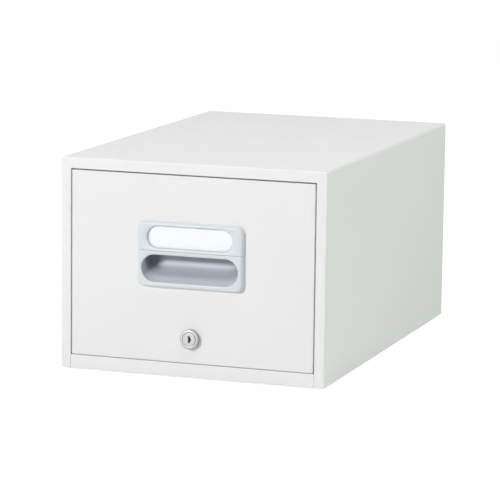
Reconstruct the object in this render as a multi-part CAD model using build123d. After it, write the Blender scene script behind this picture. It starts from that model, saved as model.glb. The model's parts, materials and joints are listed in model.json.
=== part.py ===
from build123d import *

import os
from math import sqrt

# Steel desktop cabinet with one lockable card drawer on telescopic ball slides.
# Millimetres. X runs to the right, Y from the front to the back, Z up from the surface it stands on.
# Every function works with Y = 0 on the front face; the last step moves the origin to the middle of the base.

# Cards the drawer is made for
card_width = 257.0
card_play = 2.5

# Sheet steel
steel = 0.8
sheet_fit = 1.2

# How far a cutting block runs past the faces that it cuts
past = 1.0

# Straight part left at the middle of a round end, and the margin of a search for edges
end_flat = 0.01
rim_search = 0.2

# Case
case_depth = 475.0
case_height = 238.0
top_bend = 3.0
front_bend = 1.8
low_bend = 1.3
fold_round = 0.6
head_height = 12.8
rail_height = 15.4
rail_depth = 13.0
rail_lip = 9.0
rail_flange = 11.0
rail_seam = 0.25
jamb_depth = 18.0
rear_flange = 14.0
stiffener_width = 46.0
stiffener_height = 10.0
stiffener_foot = 12.0
stiffener_margin = 14.0

# Feet
foot_height = 2.5
foot_diameter = 20.0
foot_inset = 34.0
foot_round = 0.8
foot_counterbore = 8.6
foot_counterbore_depth = 1.7
foot_screw_end = 2.0

# Drawer front, a hollow folded pan
side_gap = 1.3
top_gap = 1.4
bottom_gap = 0.6
front_thickness = 24.0
front_round = 1.2
front_corner = 1.0
front_flange = 24.0

# Drawer tub
tub_above_rail = 2.6
tub_height = 150.0
tub_wall_height = 186.0
tub_hem = 8.0
tub_rear_space = 11.0

# Telescopic ball slides
slide_thickness = 12.7
slide_height = 45.0
slide_web = 1.2
slide_above_floor = 77.0
slide_front_space = 1.5
slide_rear_space = 4.0
slide_travel = 400.0
outer_screw_length = 4.8
ball_diameter = 4.0
ball_play = 0.06
ball_count = 6
race_depth = 0.5
race_floor = 1.0
member_lap = 7.0
member_stagger = 1.0
cage_sheet = 0.5
cage_length = 200.0
cage_margin = 8.0
cage_play = 0.1
pass_clearance = 0.9
bracket_sheet = 1.2
bracket_depth = 9.7
bracket_width = 26.0
bracket_height = 48.0
bracket_screw_rise = 12.0
bracket_foot = 11.0
bracket_front_space = 48.5
bracket_rear_space = 56.0
bumper_diameter = 12.0
bumper_spacing = 160.0
bumper_above_floor = 40.0
rest_gap = 0.3

# Pull and label holder, moulded plastic
handle_width = 124.6
handle_height = 72.6
handle_centre = 136.2
handle_projection = 7.0
handle_corner = 8.0
handle_round = 2.4
label_zone = 32.0
frame_thickness = 2.2
frame_gap = 0.15
window_side = 12.8
window_above_seam = 3.35
window_below_top = 4.65
window_bevel = 1.6
pocket_side = 4.0
pocket_rise = 1.8
pocket_depth = 1.4
card_thickness = 0.3
cover_thickness = 0.8
insert_play = 0.5
cup_side = 6.05
cup_above_bottom = 5.8
cup_below_seam = 4.3
cup_depth = 17.0
cup_wall = 1.8
cup_undercut = 9.0
cup_scoop_rise = 27.0
cup_roof_round = 6.0
cup_mouth_round = 1.4
cup_lip = 6.0
cutout_play = 0.6
handle_screw_side = 4.1
handle_screw_below_top = 12.3
handle_screw_above_bottom = 5.0
handle_screw_cover = 1.2

# Cylinder lock
lock_height = 43.9
collar_diameter = 22.0
collar_projection = 6.0
collar_round = 1.6
barrel_diameter = 18.0
barrel_flats = 15.8
barrel_length = 14.6
nut_flats = 24.0
nut_thickness = 2.6
plug_diameter = 12.6
plug_head_diameter = 14.6
plug_head_length = 1.3
plug_proud = 0.3
plug_play = 0.08
plug_tail = 6.0
plug_tail_short = 0.2
plug_tail_play = 0.1
key_width = 1.7
key_height = 7.2
key_ward_width = 1.4
key_ward_height = 3.0
key_depth = 10.0
cam_thickness = 2.0
cam_hub = 16.0
cam_width = 12.0
cam_reach = 33.0
cam_tip_round = 2.0
cam_clearance = 1.5
cam_gap = 0.2
cam_screw_length = 6.0

# Screws
screw_diameter = 4.0
screw_play = 0.1
pan_head_diameter = 7.4
pan_head_height = 2.2
head_round = 0.7

# Sliding card follower and its track
track_width = 24.0
track_height = 8.0
track_sheet = 1.0
track_slot = 9.0
track_front_y = 60.0
track_rear_space = 20.0
rivet_head_diameter = 6.4
rivet_head_height = 0.9
rivet_diameter = 3.2
slider_play = 0.3
slider_end_space = 3.0
slider_length = 46.0
slider_pad_width = 34.0
slider_pad_height = 4.0
slider_pad_floor = 1.0
slider_lift = 1.5
follower_width = 248.0
follower_top = 140.0
follower_sheet = 1.2
follower_corner = 12.0
follower_foot = 30.0
follower_screw_x = 8.5
follower_screw_back = 9.0

# Levels and faces worked out from the values above
case_bottom = foot_height
case_top = case_bottom + case_height
tub_half = card_width / 2 + card_play + steel
slide_back = tub_half + slide_thickness
side_inner = slide_back + bracket_depth
case_half = side_inner + steel
middle_back = slide_back - 2 * slide_web
open_half = middle_back + pass_clearance
open_top = case_top - head_height
rail_top = case_bottom + rail_height
panel_top = case_bottom + 2 * steel
back_inner = case_depth - 2 * steel
front_half = open_half - side_gap
front_top = open_top - top_gap
front_bottom = rail_top + bottom_gap
tub_floor = rail_top + tub_above_rail + steel
tub_front = front_thickness + steel
tub_back = case_depth - tub_rear_space
slide_z = tub_floor + slide_above_floor
slide_start = front_thickness + slide_front_space
slide_end = tub_back - slide_rear_space
bracket_front_y = slide_start + bracket_front_space
bracket_rear_y = slide_end - bracket_rear_space
track_end = tub_back - track_rear_space
follower_rest_y = track_end - slider_end_space - slider_length / 2
handle_z = case_bottom + handle_centre
handle_top = handle_z + handle_height / 2
handle_bottom = handle_z - handle_height / 2
seam_z = handle_top - label_zone
window_width = handle_width - 2 * window_side
window_height = label_zone - window_above_seam - window_below_top
window_z = seam_z + window_above_seam + window_height / 2
pocket_width = window_width + 2 * pocket_side
pocket_height = window_height + 2 * pocket_rise
cup_width = handle_width - 2 * cup_side
cup_bottom = handle_bottom + cup_above_bottom
cup_top = seam_z - cup_below_seam
cup_height = cup_top - cup_bottom
cup_z = (cup_top + cup_bottom) / 2
lock_z = case_bottom + lock_height
frame_back_y = frame_thickness - handle_projection
pocket_floor_y = frame_back_y + pocket_depth
origin_y = (case_depth - handle_projection) / 2

# Slide section: heights above the slide's middle of each raceway and each flange
ball_radius = ball_diameter / 2
race_radius = ball_radius + ball_play
outer_flange_in = slide_height / 2 - race_floor - race_depth
outer_ball_z = outer_flange_in + race_depth - race_radius
middle_flange_out = outer_ball_z - race_radius + race_depth
inner_ball_z = middle_flange_out - 2 * race_depth - race_floor - race_radius
middle_flange_in = inner_ball_z + race_radius - race_depth
inner_flange_out = inner_ball_z - race_radius + race_depth
inner_flange_in = inner_flange_out - race_depth - race_floor
ball_x = slide_back - slide_thickness / 2 - 0.5 * slide_web
cage_start = slide_start + slide_travel / 4 + cage_margin
screw_radius = screw_diameter / 2
hole_radius = screw_radius + screw_play


# Building blocks
def slab(x0, x1, y0, y1, z0, z1):
    """A block between two corners, in any order."""
    middle = Pos((x0 + x1) / 2, (y0 + y1) / 2, (z0 + z1) / 2)
    return middle * Box(abs(x1 - x0), abs(y1 - y0), abs(z1 - z0))


def prism(plan, y0, y1):
    """A plan drawn in X and Z, carried from depth y0 back to y1."""
    front = Plane(origin=(0, y0, 0), x_dir=(1, 0, 0), z_dir=(0, -1, 0))
    return extrude(front * plan, amount=-(y1 - y0))


def rod_y(radius, x, z, y0, y1):
    """A round bar along Y."""
    return Pos(x, (y0 + y1) / 2, z) * Rot(90, 0, 0) * Cylinder(radius, abs(y1 - y0))


def rod_x(radius, y, z, x0, x1):
    """A round bar along X."""
    return Pos((x0 + x1) / 2, y, z) * Rot(0, 90, 0) * Cylinder(radius, abs(x1 - x0))


def rod_z(radius, x, y, z0, z1):
    """A round bar along Z."""
    return Pos(x, y, (z0 + z1) / 2) * Cylinder(radius, abs(z1 - z0))


def pan_screw(length):
    """A pan-head screw along Z: head below the origin, shank above it."""
    head = Pos(0, 0, -pan_head_height / 2) * Cylinder(pan_head_diameter / 2, pan_head_height)
    head = fillet(head.edges().group_by(Axis.Z)[0], head_round)
    return head + Pos(0, 0, length / 2) * Cylinder(screw_radius, length)


def spread(first, last, count):
    """Evenly spaced values from first to last."""
    return [first + (last - first) * i / (count - 1) for i in range(count)]


# Case
def case_hull(inset):
    """The folded case as a full block, each face and bend set in by the same amount."""
    half = case_half - inset
    hull = slab(-half, half, inset, case_depth - inset, case_bottom + inset, case_top - inset)
    hull = fillet(hull.edges().filter_by(Axis.Y).group_by(Axis.Z)[-1], top_bend - inset)
    for end in (0, -1):
        face = hull.faces().sort_by(Axis.Y)[end]
        rim = face.edges().sort_by(Axis.Z)[1:]
        hull = fillet(rim, front_bend - inset)
    return fillet(hull.faces().sort_by(Axis.Z)[0].edges(), low_bend - inset)


def case_wrapper():
    """Top and both sides from one folded sheet, with the front posts, the head and the flanges."""
    shell = case_hull(0) - case_hull(steel)
    shell -= slab(-open_half, open_half, -past, steel + past, case_bottom - past, open_top)
    rear_x = case_half - rear_flange
    shell -= slab(-rear_x, rear_x, back_inner, case_depth + past, case_bottom - past, case_top - rear_flange)
    shell -= slab(-open_half, open_half, -past, case_depth + past, case_bottom - past, panel_top)
    for side in (-1, 1):
        jamb = (side * open_half, side * (open_half + steel))
        shell += slab(*jamb, 0, jamb_depth, panel_top + rest_gap, open_top + steel)
    shell += slab(-open_half - steel, open_half + steel, 0, jamb_depth, open_top, open_top + steel)
    opening = [
        edge
        for edge in shell.edges().filter_by(Axis.Z) + shell.edges().filter_by(Axis.X)
        if abs(edge.center().Y) < 1e-6 and abs(edge.center().X) < open_half + 1e-6
        and edge.center().Z < open_top + 1e-6 and edge.center().Z > panel_top
    ]
    return fillet(opening, fold_round)


def back_panel():
    """Flat sheet spot-welded inside the rear flanges."""
    half = side_inner - sheet_fit
    top = case_top - steel - sheet_fit
    panel = slab(-half, half, back_inner, back_inner + steel, panel_top, top)
    return fillet(panel.edges().filter_by(Axis.Y).group_by(Axis.Z)[-1], top_bend)


def bottom_panel():
    """Flat sheet on the lower flanges, with the foot screw holes."""
    half = side_inner - sheet_fit
    low = case_bottom + steel
    panel = slab(-half, half, steel + sheet_fit, back_inner, low, panel_top)
    for x, y in foot_places():
        panel -= rod_z(hole_radius, x, y, low - past, panel_top + past)
    return panel


def front_rail():
    """Folded channel between the posts under the drawer; the lock's cam drops behind it."""
    half = open_half - rail_seam
    rail = slab(-half, half, 0, rail_depth, case_bottom, rail_top)
    edges = rail.edges().filter_by(Axis.X).filter_by_position(Axis.Y, -1, 1)
    rail = fillet(edges, fold_round)
    across = (-half - past, half + past)
    rail -= slab(*across, steel, rail_depth - steel, case_bottom + steel, rail_top - steel)
    rail -= slab(*across, steel, rail_depth + past, case_bottom + steel, rail_top - rail_lip)
    return rail - slab(*across, rail_flange, rail_depth + past, case_bottom - past, panel_top)


def top_stiffener():
    """Hat section welded under the top sheet at half depth."""
    half = side_inner - stiffener_margin
    roof = case_top - steel
    middle = case_depth / 2
    wide = stiffener_width / 2
    hat = slab(-half, half, middle - wide, middle + wide, roof - stiffener_height, roof)
    hat -= slab(-half - past, half + past, middle - wide + steel, middle + wide - steel,
                roof - stiffener_height + steel, roof + past)
    for side in (-1, 1):
        edge = middle + side * wide
        hat += slab(-half, half, edge - side * steel, edge + side * stiffener_foot, roof - steel, roof)
    return hat


# Feet
def foot_places():
    """Middles of the four feet."""
    x = case_half - foot_inset
    return [(side * x, y) for y in (foot_inset, case_depth - foot_inset) for side in (-1, 1)]


def foot(x, y):
    """Rubber foot with a sunk screw hole."""
    body = rod_z(foot_diameter / 2, x, y, 0, case_bottom + steel)
    body = fillet(body.edges().group_by(Axis.Z)[0], foot_round)
    body -= rod_z(foot_counterbore / 2, x, y, -past, foot_counterbore_depth)
    return body - rod_z(hole_radius, x, y, -past, case_bottom + steel + past)


def foot_screws():
    """One screw up through each foot into the bottom panel."""
    seat = foot_counterbore_depth
    length = panel_top - seat + foot_screw_end
    screws = []
    for x, y in foot_places():
        head = rod_z(pan_head_diameter / 2, x, y, seat - pan_head_height / 2, seat)
        screws.append(head + rod_z(screw_radius, x, y, seat, seat + length))
    return screws


# Telescopic slides; side is -1 for the left one and 1 for the right one
def race(side, height, y0, y1):
    """A raceway's round groove along Y."""
    return rod_y(race_radius, side * ball_x, height, y0, y1)


def channel(side, web, tip, flange_out, flange_in, y0, y1):
    """A C-section member: its web, and two flanges from the web to the tip."""
    web_x, web_thickness = web
    body = slab(side * web_x, side * (web_x + web_thickness), y0, y1,
                slide_z - flange_out, slide_z + flange_out)
    for up in (-1, 1):
        body += slab(side * web_x, side * tip, y0, y1,
                     slide_z + up * flange_in, slide_z + up * flange_out)
    return body


def outer_screw_places():
    """Depth and height of the screws that hold an outer member to its brackets."""
    depths = (bracket_front_y, bracket_rear_y)
    return [(y, slide_z + up * bracket_screw_rise) for y in depths for up in (-1, 1)]


def sunk_head(side, y, z, play):
    """The cone of a countersunk screw head, flush with the inside of the outer member's web."""
    cone = Cone(screw_radius + slide_web + play, screw_radius + play, slide_web)
    return Pos(side * (slide_back - slide_web / 2), y, z) * Rot(0, side * 90, 0) * cone


def slide_outer(side):
    """Member fixed to the case, with a lip along each flange."""
    web = (slide_back - slide_web, slide_web)
    tip = ball_x - member_lap / 2 - slide_web
    y0, y1 = slide_start, slide_end
    body = channel(side, web, tip, slide_height / 2, outer_flange_in, y0, y1)
    for up in (-1, 1):
        body += slab(side * tip, side * (tip + slide_web), y0, y1,
                     slide_z + up * (outer_flange_in - race_floor), slide_z + up * slide_height / 2)
        body -= race(side, slide_z + up * outer_ball_z, y0 - past, y1 + past)
    for y, z in outer_screw_places():
        body -= sunk_head(side, y, z, screw_play)
    return body


def slide_outer_screws():
    """Countersunk screws through the outer members into the brackets."""
    screws = []
    for side in (-1, 1):
        for y, z in outer_screw_places():
            shank = rod_x(screw_radius, y, z, side * slide_back, side * (slide_back + outer_screw_length))
            screws.append(sunk_head(side, y, z, 0) + shank)
    return screws


def slide_middle(side):
    """Middle member, with raceways outside and inside its flanges."""
    web = (middle_back - slide_web, slide_web)
    tip = ball_x - member_lap / 2 + cage_sheet
    y0, y1 = slide_start + member_stagger, slide_end - member_stagger
    body = channel(side, web, tip, middle_flange_out, middle_flange_in, y0, y1)
    for up in (-1, 1):
        body -= race(side, slide_z + up * outer_ball_z, y0 - past, y1 + past)
        body -= race(side, slide_z + up * inner_ball_z, y0 - past, y1 + past)
    return body


def inner_tip():
    """How far the inner member's flanges reach towards the case."""
    return middle_back - 2 * slide_web - 2 * cage_play - cage_sheet


def slide_inner(side):
    """Member fixed to the tub."""
    y0, y1 = slide_start, slide_end
    body = channel(side, (tub_half, slide_web), inner_tip(), inner_flange_out, inner_flange_in, y0, y1)
    for up in (-1, 1):
        body -= race(side, slide_z + up * inner_ball_z, y0 - past, y1 + past)
    for y in inner_screw_places():
        body -= rod_x(hole_radius, y, slide_z, side * (tub_half - past), side * (tub_half + slide_web + past))
    return body


def inner_screw_places():
    """Depths of the screws that hold an inner member to the tub."""
    return spread(slide_start + cage_margin + bracket_width / 2, slide_end - bracket_width, 3)


def slide_inner_screws():
    """Pan-head screws from inside the tub through each inner member's web."""
    screws = []
    for side in (-1, 1):
        for y in inner_screw_places():
            place = Pos(side * (tub_half - steel), y, slide_z) * Rot(0, side * 90, 0)
            screws.append(place * pan_screw(steel + 2 * slide_web))
    return screws


def cage_plate_x(ring):
    """Inner face of a cage's plate: ring 0 lies in the outer member, ring 1 in the middle one."""
    near = middle_back if ring == 0 else inner_tip()
    room = slide_web if ring == 0 else middle_back - slide_web - inner_tip()
    return near + (room - cage_sheet) / 2


def ball_rows(ring):
    """Height of a ring's ball rows above the slide's middle, and the depth of each ball."""
    height = outer_ball_z if ring == 0 else inner_ball_z
    margin = cage_length / (2 * ball_count)
    return height, spread(cage_start + margin, cage_start + cage_length - margin, ball_count)


def ball_cage(side, ring):
    """Pressed strip that keeps the balls apart."""
    height, depths = ball_rows(ring)
    back = cage_plate_x(ring)
    tip = ball_x - ball_radius - cage_sheet
    y1 = cage_start + cage_length
    half = height + cage_sheet / 2
    body = channel(side, (back, cage_sheet), tip, half, half - cage_sheet, cage_start, y1)
    for y in depths:
        body -= rod_z(ball_radius + cage_play, side * ball_x, y, slide_z - half - past, slide_z + half + past)
    return body


def slide_balls(side, ring):
    """Steel balls of one ring, above and below."""
    height, depths = ball_rows(ring)
    return [
        Pos(side * ball_x, y, slide_z + up * height) * Sphere(ball_radius)
        for up in (-1, 1) for y in depths
    ]


def slide_bracket(side, y):
    """Hat bracket that spaces an outer member off the case's side."""
    z0, z1 = slide_z - bracket_height / 2, slide_z + bracket_height / 2
    half = bracket_width / 2
    hat = slab(side * slide_back, side * side_inner, y - half, y + half, z0, z1)
    hat -= slab(side * (slide_back + bracket_sheet), side * (side_inner + past),
                y - half + bracket_sheet, y + half - bracket_sheet, z0 - past, z1 + past)
    for way in (-1, 1):
        near = y + way * (half - bracket_sheet)
        hat += slab(side * (side_inner - bracket_sheet), side * side_inner,
                    near, y + way * (half + bracket_foot), z0, z1)
    for depth, z in outer_screw_places():
        through = (side * (slide_back - past), side * (slide_back + bracket_sheet + past))
        hat -= rod_x(hole_radius, depth, z, *through)
    return hat


def rear_bumpers():
    """Rubber buffers on the back panel that stop the closing tub."""
    z = tub_floor + bumper_above_floor
    y0 = tub_back + rest_gap
    bumpers = []
    for side in (-1, 1):
        body = rod_y(bumper_diameter / 2, side * bumper_spacing / 2, z, y0, back_inner)
        bumpers.append(fillet(body.edges().group_by(Axis.Y)[0], foot_round))
    return bumpers


# Drawer
def front_block(inset):
    """The drawer front as a full block, each face set in by the same amount."""
    half = front_half - inset
    block = slab(-half, half, inset, front_thickness - inset, front_bottom + inset, front_top - inset)
    block = fillet(block.edges().filter_by(Axis.Y), front_corner - inset)
    return fillet(block.faces().sort_by(Axis.Y)[0].edges(), front_round - inset)


def front_screw_places():
    """Across and height of the screws that hold the front to the tub."""
    x = tub_half - pan_head_diameter - steel - card_play
    low = tub_floor + pan_head_diameter
    return [(side * x, z) for side in (-1, 1) for z in spread(low, low + tub_height - tub_hem, 3)]


def handle_screw_places():
    """Across and height of the screws that hold the pull to the drawer front."""
    x = handle_width / 2 - handle_screw_side
    heights = (handle_top - handle_screw_below_top, handle_bottom + handle_screw_above_bottom)
    return [(side * x, z) for side in (-1, 1) for z in heights]


def drawer_front():
    """Hollow folded pan with the pull's cut-out, the lock's hole and the cam's slot."""
    pan = front_block(0) - front_block(steel)
    half = front_half - front_flange
    pan -= slab(-half, half, front_thickness - steel - past, front_thickness + past,
                front_bottom + front_flange, front_top - front_flange)
    pan -= prism(cup_plan(cup_wall + cutout_play), -past, steel + past)
    pan -= prism(barrel_plan(screw_play), -past, steel + past)
    drop = lock_z - front_bottom
    swing = sqrt(cam_reach**2 + (cam_width / 2) ** 2 - (drop - steel) ** 2)
    pan -= slab(-cam_width / 2 - cam_clearance, swing + cam_clearance,
                cam_front() - cam_clearance, cam_front() + cam_thickness + cam_clearance,
                front_bottom - past, front_bottom + steel + past)
    for x, z in front_screw_places():
        pan -= rod_y(hole_radius, x, z, front_thickness - steel - past, front_thickness + past)
    for x, z in handle_screw_places():
        pan -= rod_y(hole_radius, x, z, -past, steel + past)
    return pan


def tub_body():
    """Floor and both sides of the drawer, folded from one sheet, with a hem along each side."""
    y0, y1 = tub_front, tub_back - steel
    top = tub_floor + tub_height
    body = slab(-tub_half, tub_half, y0, y1, tub_floor - steel, top)
    body = fillet(body.edges().filter_by(Axis.Y).group_by(Axis.Z)[0], low_bend)
    room = slab(-tub_half + steel, tub_half - steel, y0 - past, y1 + past, tub_floor, top + past)
    room = fillet(room.edges().filter_by(Axis.Y).group_by(Axis.Z)[0], low_bend - steel)
    body -= room
    for side in (-1, 1):
        body += slab(side * (tub_half - 2 * steel), side * tub_half, y0, y1, top - tub_hem, top)
        for y in inner_screw_places():
            body -= rod_x(hole_radius, y, slide_z, side * (tub_half + past), side * (tub_half - 2 * steel))
    body = fillet(body.edges().filter_by(Axis.Y).group_by(Axis.Z)[-1], steel / 2)
    for y in rivet_places():
        body -= rod_z(rivet_diameter / 2, 0, y, tub_floor - steel - past, tub_floor + past)
    return body


def tub_end(y0, top):
    """A flat wall across one end of the tub, with rounded lower corners."""
    wall = slab(-tub_half, tub_half, y0, y0 + steel, tub_floor - steel, top)
    return fillet(wall.edges().filter_by(Axis.Y).group_by(Axis.Z)[0], low_bend)


def tub_front_wall():
    """Inner skin that closes the drawer front."""
    wall = tub_end(front_thickness, tub_floor + tub_wall_height)
    for x, z in front_screw_places():
        wall -= rod_y(hole_radius, x, z, front_thickness - past, tub_front + past)
    return wall


def tub_back_wall():
    """Rear wall of the tub, as high as its sides."""
    return tub_end(tub_back - steel, tub_floor + tub_height)


def drawer_front_screws():
    """Screws from inside the tub into the drawer front's flanges."""
    return [
        Pos(x, tub_front, z) * Rot(90, 0, 0) * pan_screw(4 * steel) for x, z in front_screw_places()
    ]


# Pull and label holder
def cup_plan(grow):
    """Outline of the pull's hollow behind its lip, seen from the front."""
    height = cup_height + cup_undercut
    middle = cup_z + cup_undercut / 2
    corner = cup_height / 2 + grow - end_flat
    return Pos(0, middle) * RectangleRounded(cup_width + 2 * grow, height + 2 * grow, corner)


def cup_side_view(grow):
    """The hollow seen from the side: a round floor that turns upright at the back, and a rounded roof."""
    front = cup_mouth_round - handle_projection
    depth = cup_depth - front
    scoop = (depth**2 + cup_scoop_rise**2) / (2 * depth)
    centre = cup_depth - scoop
    turn = cup_bottom + cup_scoop_rise
    low = turn - sqrt((scoop + grow) ** 2 - (front - centre) ** 2)
    roof = cup_top + cup_undercut + grow
    back = cup_depth + grow
    corner = cup_roof_round + grow
    lip_back = cup_lip - handle_projection
    outline = Polyline((front, low), (front, cup_top + grow), (lip_back, cup_top + grow),
                       (lip_back, roof), (back - corner, roof))
    outline += RadiusArc((back - corner, roof), (back, roof - corner), corner)
    outline += Line((back, roof - corner), (back, turn))
    outline += RadiusArc((back, turn), (front, low), scoop + grow)
    return make_face(Plane.YZ * outline)


def cup_scoop(grow):
    """The hollow behind the pull's front edge, as a solid."""
    lip_back = cup_lip - handle_projection
    across = extrude(cup_side_view(grow), amount=cup_width / 2 + grow, both=True)
    mouth = Pos(0, cup_z) * SlotOverall(cup_width + 2 * grow, cup_height + 2 * grow)
    front = across & prism(mouth, cup_mouth_round - handle_projection, lip_back)
    return front + (across & prism(cup_plan(grow), lip_back, cup_depth + grow))


def handle_block():
    """The whole pull's rounded front, before the label frame is parted from it."""
    plan = Pos(0, handle_z) * RectangleRounded(handle_width, handle_height, handle_corner)
    block = prism(plan, -handle_projection, 0)
    return fillet(block.faces().sort_by(Axis.Y)[0].edges(), handle_round)


def front_rim(part, width, height, z):
    """The edges of a round-ended opening in a part's foremost face."""
    return [
        edge for edge in part.faces().sort_by(Axis.Y)[0].edges()
        if abs(edge.center().X) < width / 2 + rim_search
        and abs(edge.center().Z - z) < height / 2 + rim_search
    ]


def handle_base():
    """Pull with its finger cup and the pocket for the label."""
    base = handle_block()
    front = -handle_projection
    base -= slab(-handle_width, handle_width, front - past, frame_back_y, seam_z, handle_top + past)
    mouth = Pos(0, cup_z) * SlotOverall(cup_width, cup_height)
    base -= prism(mouth, front - past, front + cup_mouth_round + rim_search)
    base = fillet(front_rim(base, cup_width, cup_height, cup_z), cup_mouth_round)
    hollow = cup_scoop(0)
    shell = cup_scoop(cup_wall) - slab(-handle_width, handle_width, front - past, 0, 0, case_top)
    base = base - hollow + (shell - hollow)
    pocket = Pos(0, window_z) * RectangleRounded(pocket_width, pocket_height, cup_mouth_round)
    base -= prism(pocket, frame_back_y - past, pocket_floor_y)
    for x, z in handle_screw_places():
        base -= rod_y(screw_radius, x, z, -handle_screw_depth(), past)
    return base


def handle_screw_depth():
    """How deep a screw bites into the pull."""
    return handle_projection - frame_thickness - handle_screw_cover


def handle_screws():
    """Screws from behind the drawer front's skin into the pull."""
    length = steel + handle_screw_depth()
    return [
        Pos(x, steel, z) * Rot(90, 0, 0) * pan_screw(length) for x, z in handle_screw_places()
    ]


def label_frame():
    """Upper half of the pull's front: a snap-on frame around the label's window."""
    front = -handle_projection
    low = seam_z + frame_gap
    part = handle_block() & slab(-handle_width, handle_width, front - past, frame_back_y, low, handle_top)
    window = Pos(0, window_z) * SlotOverall(window_width, window_height)
    part -= prism(window, front - past, past)
    return chamfer(front_rim(part, window_width, window_height, window_z), window_bevel)


def label_insert(y0, thickness):
    """A flat sheet that lies in the label's pocket."""
    plan = RectangleRounded(pocket_width - 2 * insert_play, pocket_height - 2 * insert_play, cup_mouth_round)
    return prism(Pos(0, window_z) * plan, y0, y0 + thickness)


def label_card():
    """Paper label on the pocket's floor."""
    return label_insert(pocket_floor_y - card_thickness, card_thickness)


def label_cover():
    """Clear sheet between the label and the frame."""
    return label_insert(pocket_floor_y - card_thickness - cover_thickness, cover_thickness)


# Lock
def barrel_plan(play):
    """The lock barrel's outline: a circle with two flats."""
    flats = Rectangle(barrel_flats + 2 * play, barrel_diameter + past)
    return Pos(0, lock_z) * (Circle(barrel_diameter / 2 + play) & flats)


def plug_face():
    """Depth of the plug's front face."""
    return -collar_projection - plug_proud


def cam_front():
    """Depth of the cam's front face, just behind the barrel."""
    return barrel_length + cam_gap


def lock_housing():
    """Collar on the front and barrel through it, bored for the plug."""
    collar = rod_y(collar_diameter / 2, 0, lock_z, -collar_projection, 0)
    collar = fillet(collar.edges().group_by(Axis.Y)[0], collar_round)
    body = collar + prism(barrel_plan(0), 0, barrel_length)
    body -= rod_y(plug_diameter / 2 + plug_play, 0, lock_z, -collar_projection - past, barrel_length + past)
    seat = plug_face() + plug_head_length + plug_play
    return body - rod_y(plug_head_diameter / 2 + 2 * plug_play, 0, lock_z, -collar_projection - past, seat)


def lock_nut():
    """Hexagon nut that clamps the lock to the drawer front's skin."""
    nut = Pos(0, lock_z) * RegularPolygon(nut_flats / 2, 6, major_radius=False)
    bore = Pos(0, lock_z) * Circle(barrel_diameter / 2 + screw_play)
    return prism(nut - bore, steel, steel + nut_thickness)


def lock_plug():
    """Turning plug with the keyway in front and a square tail behind."""
    head = rod_y(plug_head_diameter / 2, 0, lock_z, plug_face(), plug_face() + plug_head_length)
    head = fillet(head.edges().group_by(Axis.Y)[0], plug_proud)
    body = head + rod_y(plug_diameter / 2, 0, lock_z, plug_face() + plug_head_length, cam_front())
    tail = Pos(0, lock_z) * Rectangle(plug_tail, plug_tail)
    body += prism(tail, cam_front() - past, cam_front() + cam_thickness - plug_tail_short)
    key = Rectangle(key_width, key_height)
    key += Pos(key_width / 2) * Rectangle(2 * key_ward_width, key_ward_height)
    body -= prism(Pos(0, lock_z) * key, plug_face() - past, plug_face() + key_depth)
    screw_end = cam_front() + cam_thickness - cam_screw_length
    return body - rod_y(screw_radius, 0, lock_z, screw_end - past, cam_front() + cam_thickness + past)


def lock_cam():
    """Flat cam on the plug's tail; level when unlocked, down behind the rail when locked."""
    arm = Pos(cam_reach / 2) * RectangleRounded(cam_reach, cam_width, cam_tip_round)
    square = plug_tail + 2 * plug_tail_play
    plan = Pos(0, lock_z) * (arm + Circle(cam_hub / 2) - Rectangle(square, square))
    return prism(plan, cam_front(), cam_front() + cam_thickness)


def cam_screw():
    """Screw that holds the cam on the plug."""
    place = Pos(0, cam_front() + cam_thickness, lock_z) * Rot(90, 0, 0)
    return place * pan_screw(cam_screw_length)


# Card follower
def rivet_places():
    """Depths of the rivets that hold the follower's track to the tub's floor."""
    return spread(track_front_y + track_width, track_end - track_width, 3)


def follower_track():
    """Slotted channel along the middle of the tub's floor."""
    end = track_end
    half = track_width / 2
    top = tub_floor + track_height
    track = slab(-half, half, track_front_y, end, tub_floor, top)
    track -= slab(-half + track_sheet, half - track_sheet, track_front_y - past, end + past,
                  tub_floor + track_sheet, top - track_sheet)
    track -= slab(-track_slot / 2, track_slot / 2, track_front_y - past, end + past,
                  top - 2 * track_sheet, top + past)
    for y in rivet_places():
        track -= rod_z(rivet_diameter / 2, 0, y, tub_floor - past, tub_floor + 2 * track_sheet)
    return track


def track_rivets():
    """Rivets through the track and the floor."""
    seat = tub_floor + track_sheet
    under = tub_floor - steel
    rivets = []
    for y in rivet_places():
        body = rod_z(rivet_head_diameter / 2, 0, y, seat, seat + rivet_head_height)
        body += rod_z(rivet_diameter / 2, 0, y, under - rivet_head_height, seat)
        rivets.append(body + rod_z(rivet_head_diameter / 2, 0, y, under - rivet_head_height, under))
    return rivets


def follower_slider():
    """Nylon shoe that runs in the track."""
    y0, y1 = follower_rest_y - slider_length / 2, follower_rest_y + slider_length / 2
    foot_half = track_width / 2 - track_sheet - slider_play
    neck_half = track_slot / 2 - slider_play
    low = tub_floor + track_sheet + slider_lift
    track_top = tub_floor + track_height
    pad_low = track_top + slider_play
    body = slab(-foot_half, foot_half, y0, y1, low, track_top - track_sheet - slider_play)
    body += slab(-neck_half, neck_half, y0, y1, low, pad_low)
    body += slab(-slider_pad_width / 2, slider_pad_width / 2, y0, y1, pad_low, pad_low + slider_pad_height)
    for x in follower_screw_places():
        hole = (pad_low + slider_pad_floor, pad_low + slider_pad_height + past)
        body -= rod_z(screw_radius, x, follower_screw_y(), *hole)
    return body


def slider_top():
    """Height of the shoe's upper face."""
    return tub_floor + track_height + slider_play + slider_pad_height


def follower_screw_places():
    """Where the plate's screws lie, to each side of the middle."""
    return [side * follower_screw_x for side in (-1, 1)]


def follower_screw_y():
    """Depth of the plate's screws."""
    return follower_rest_y + follower_screw_back


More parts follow.
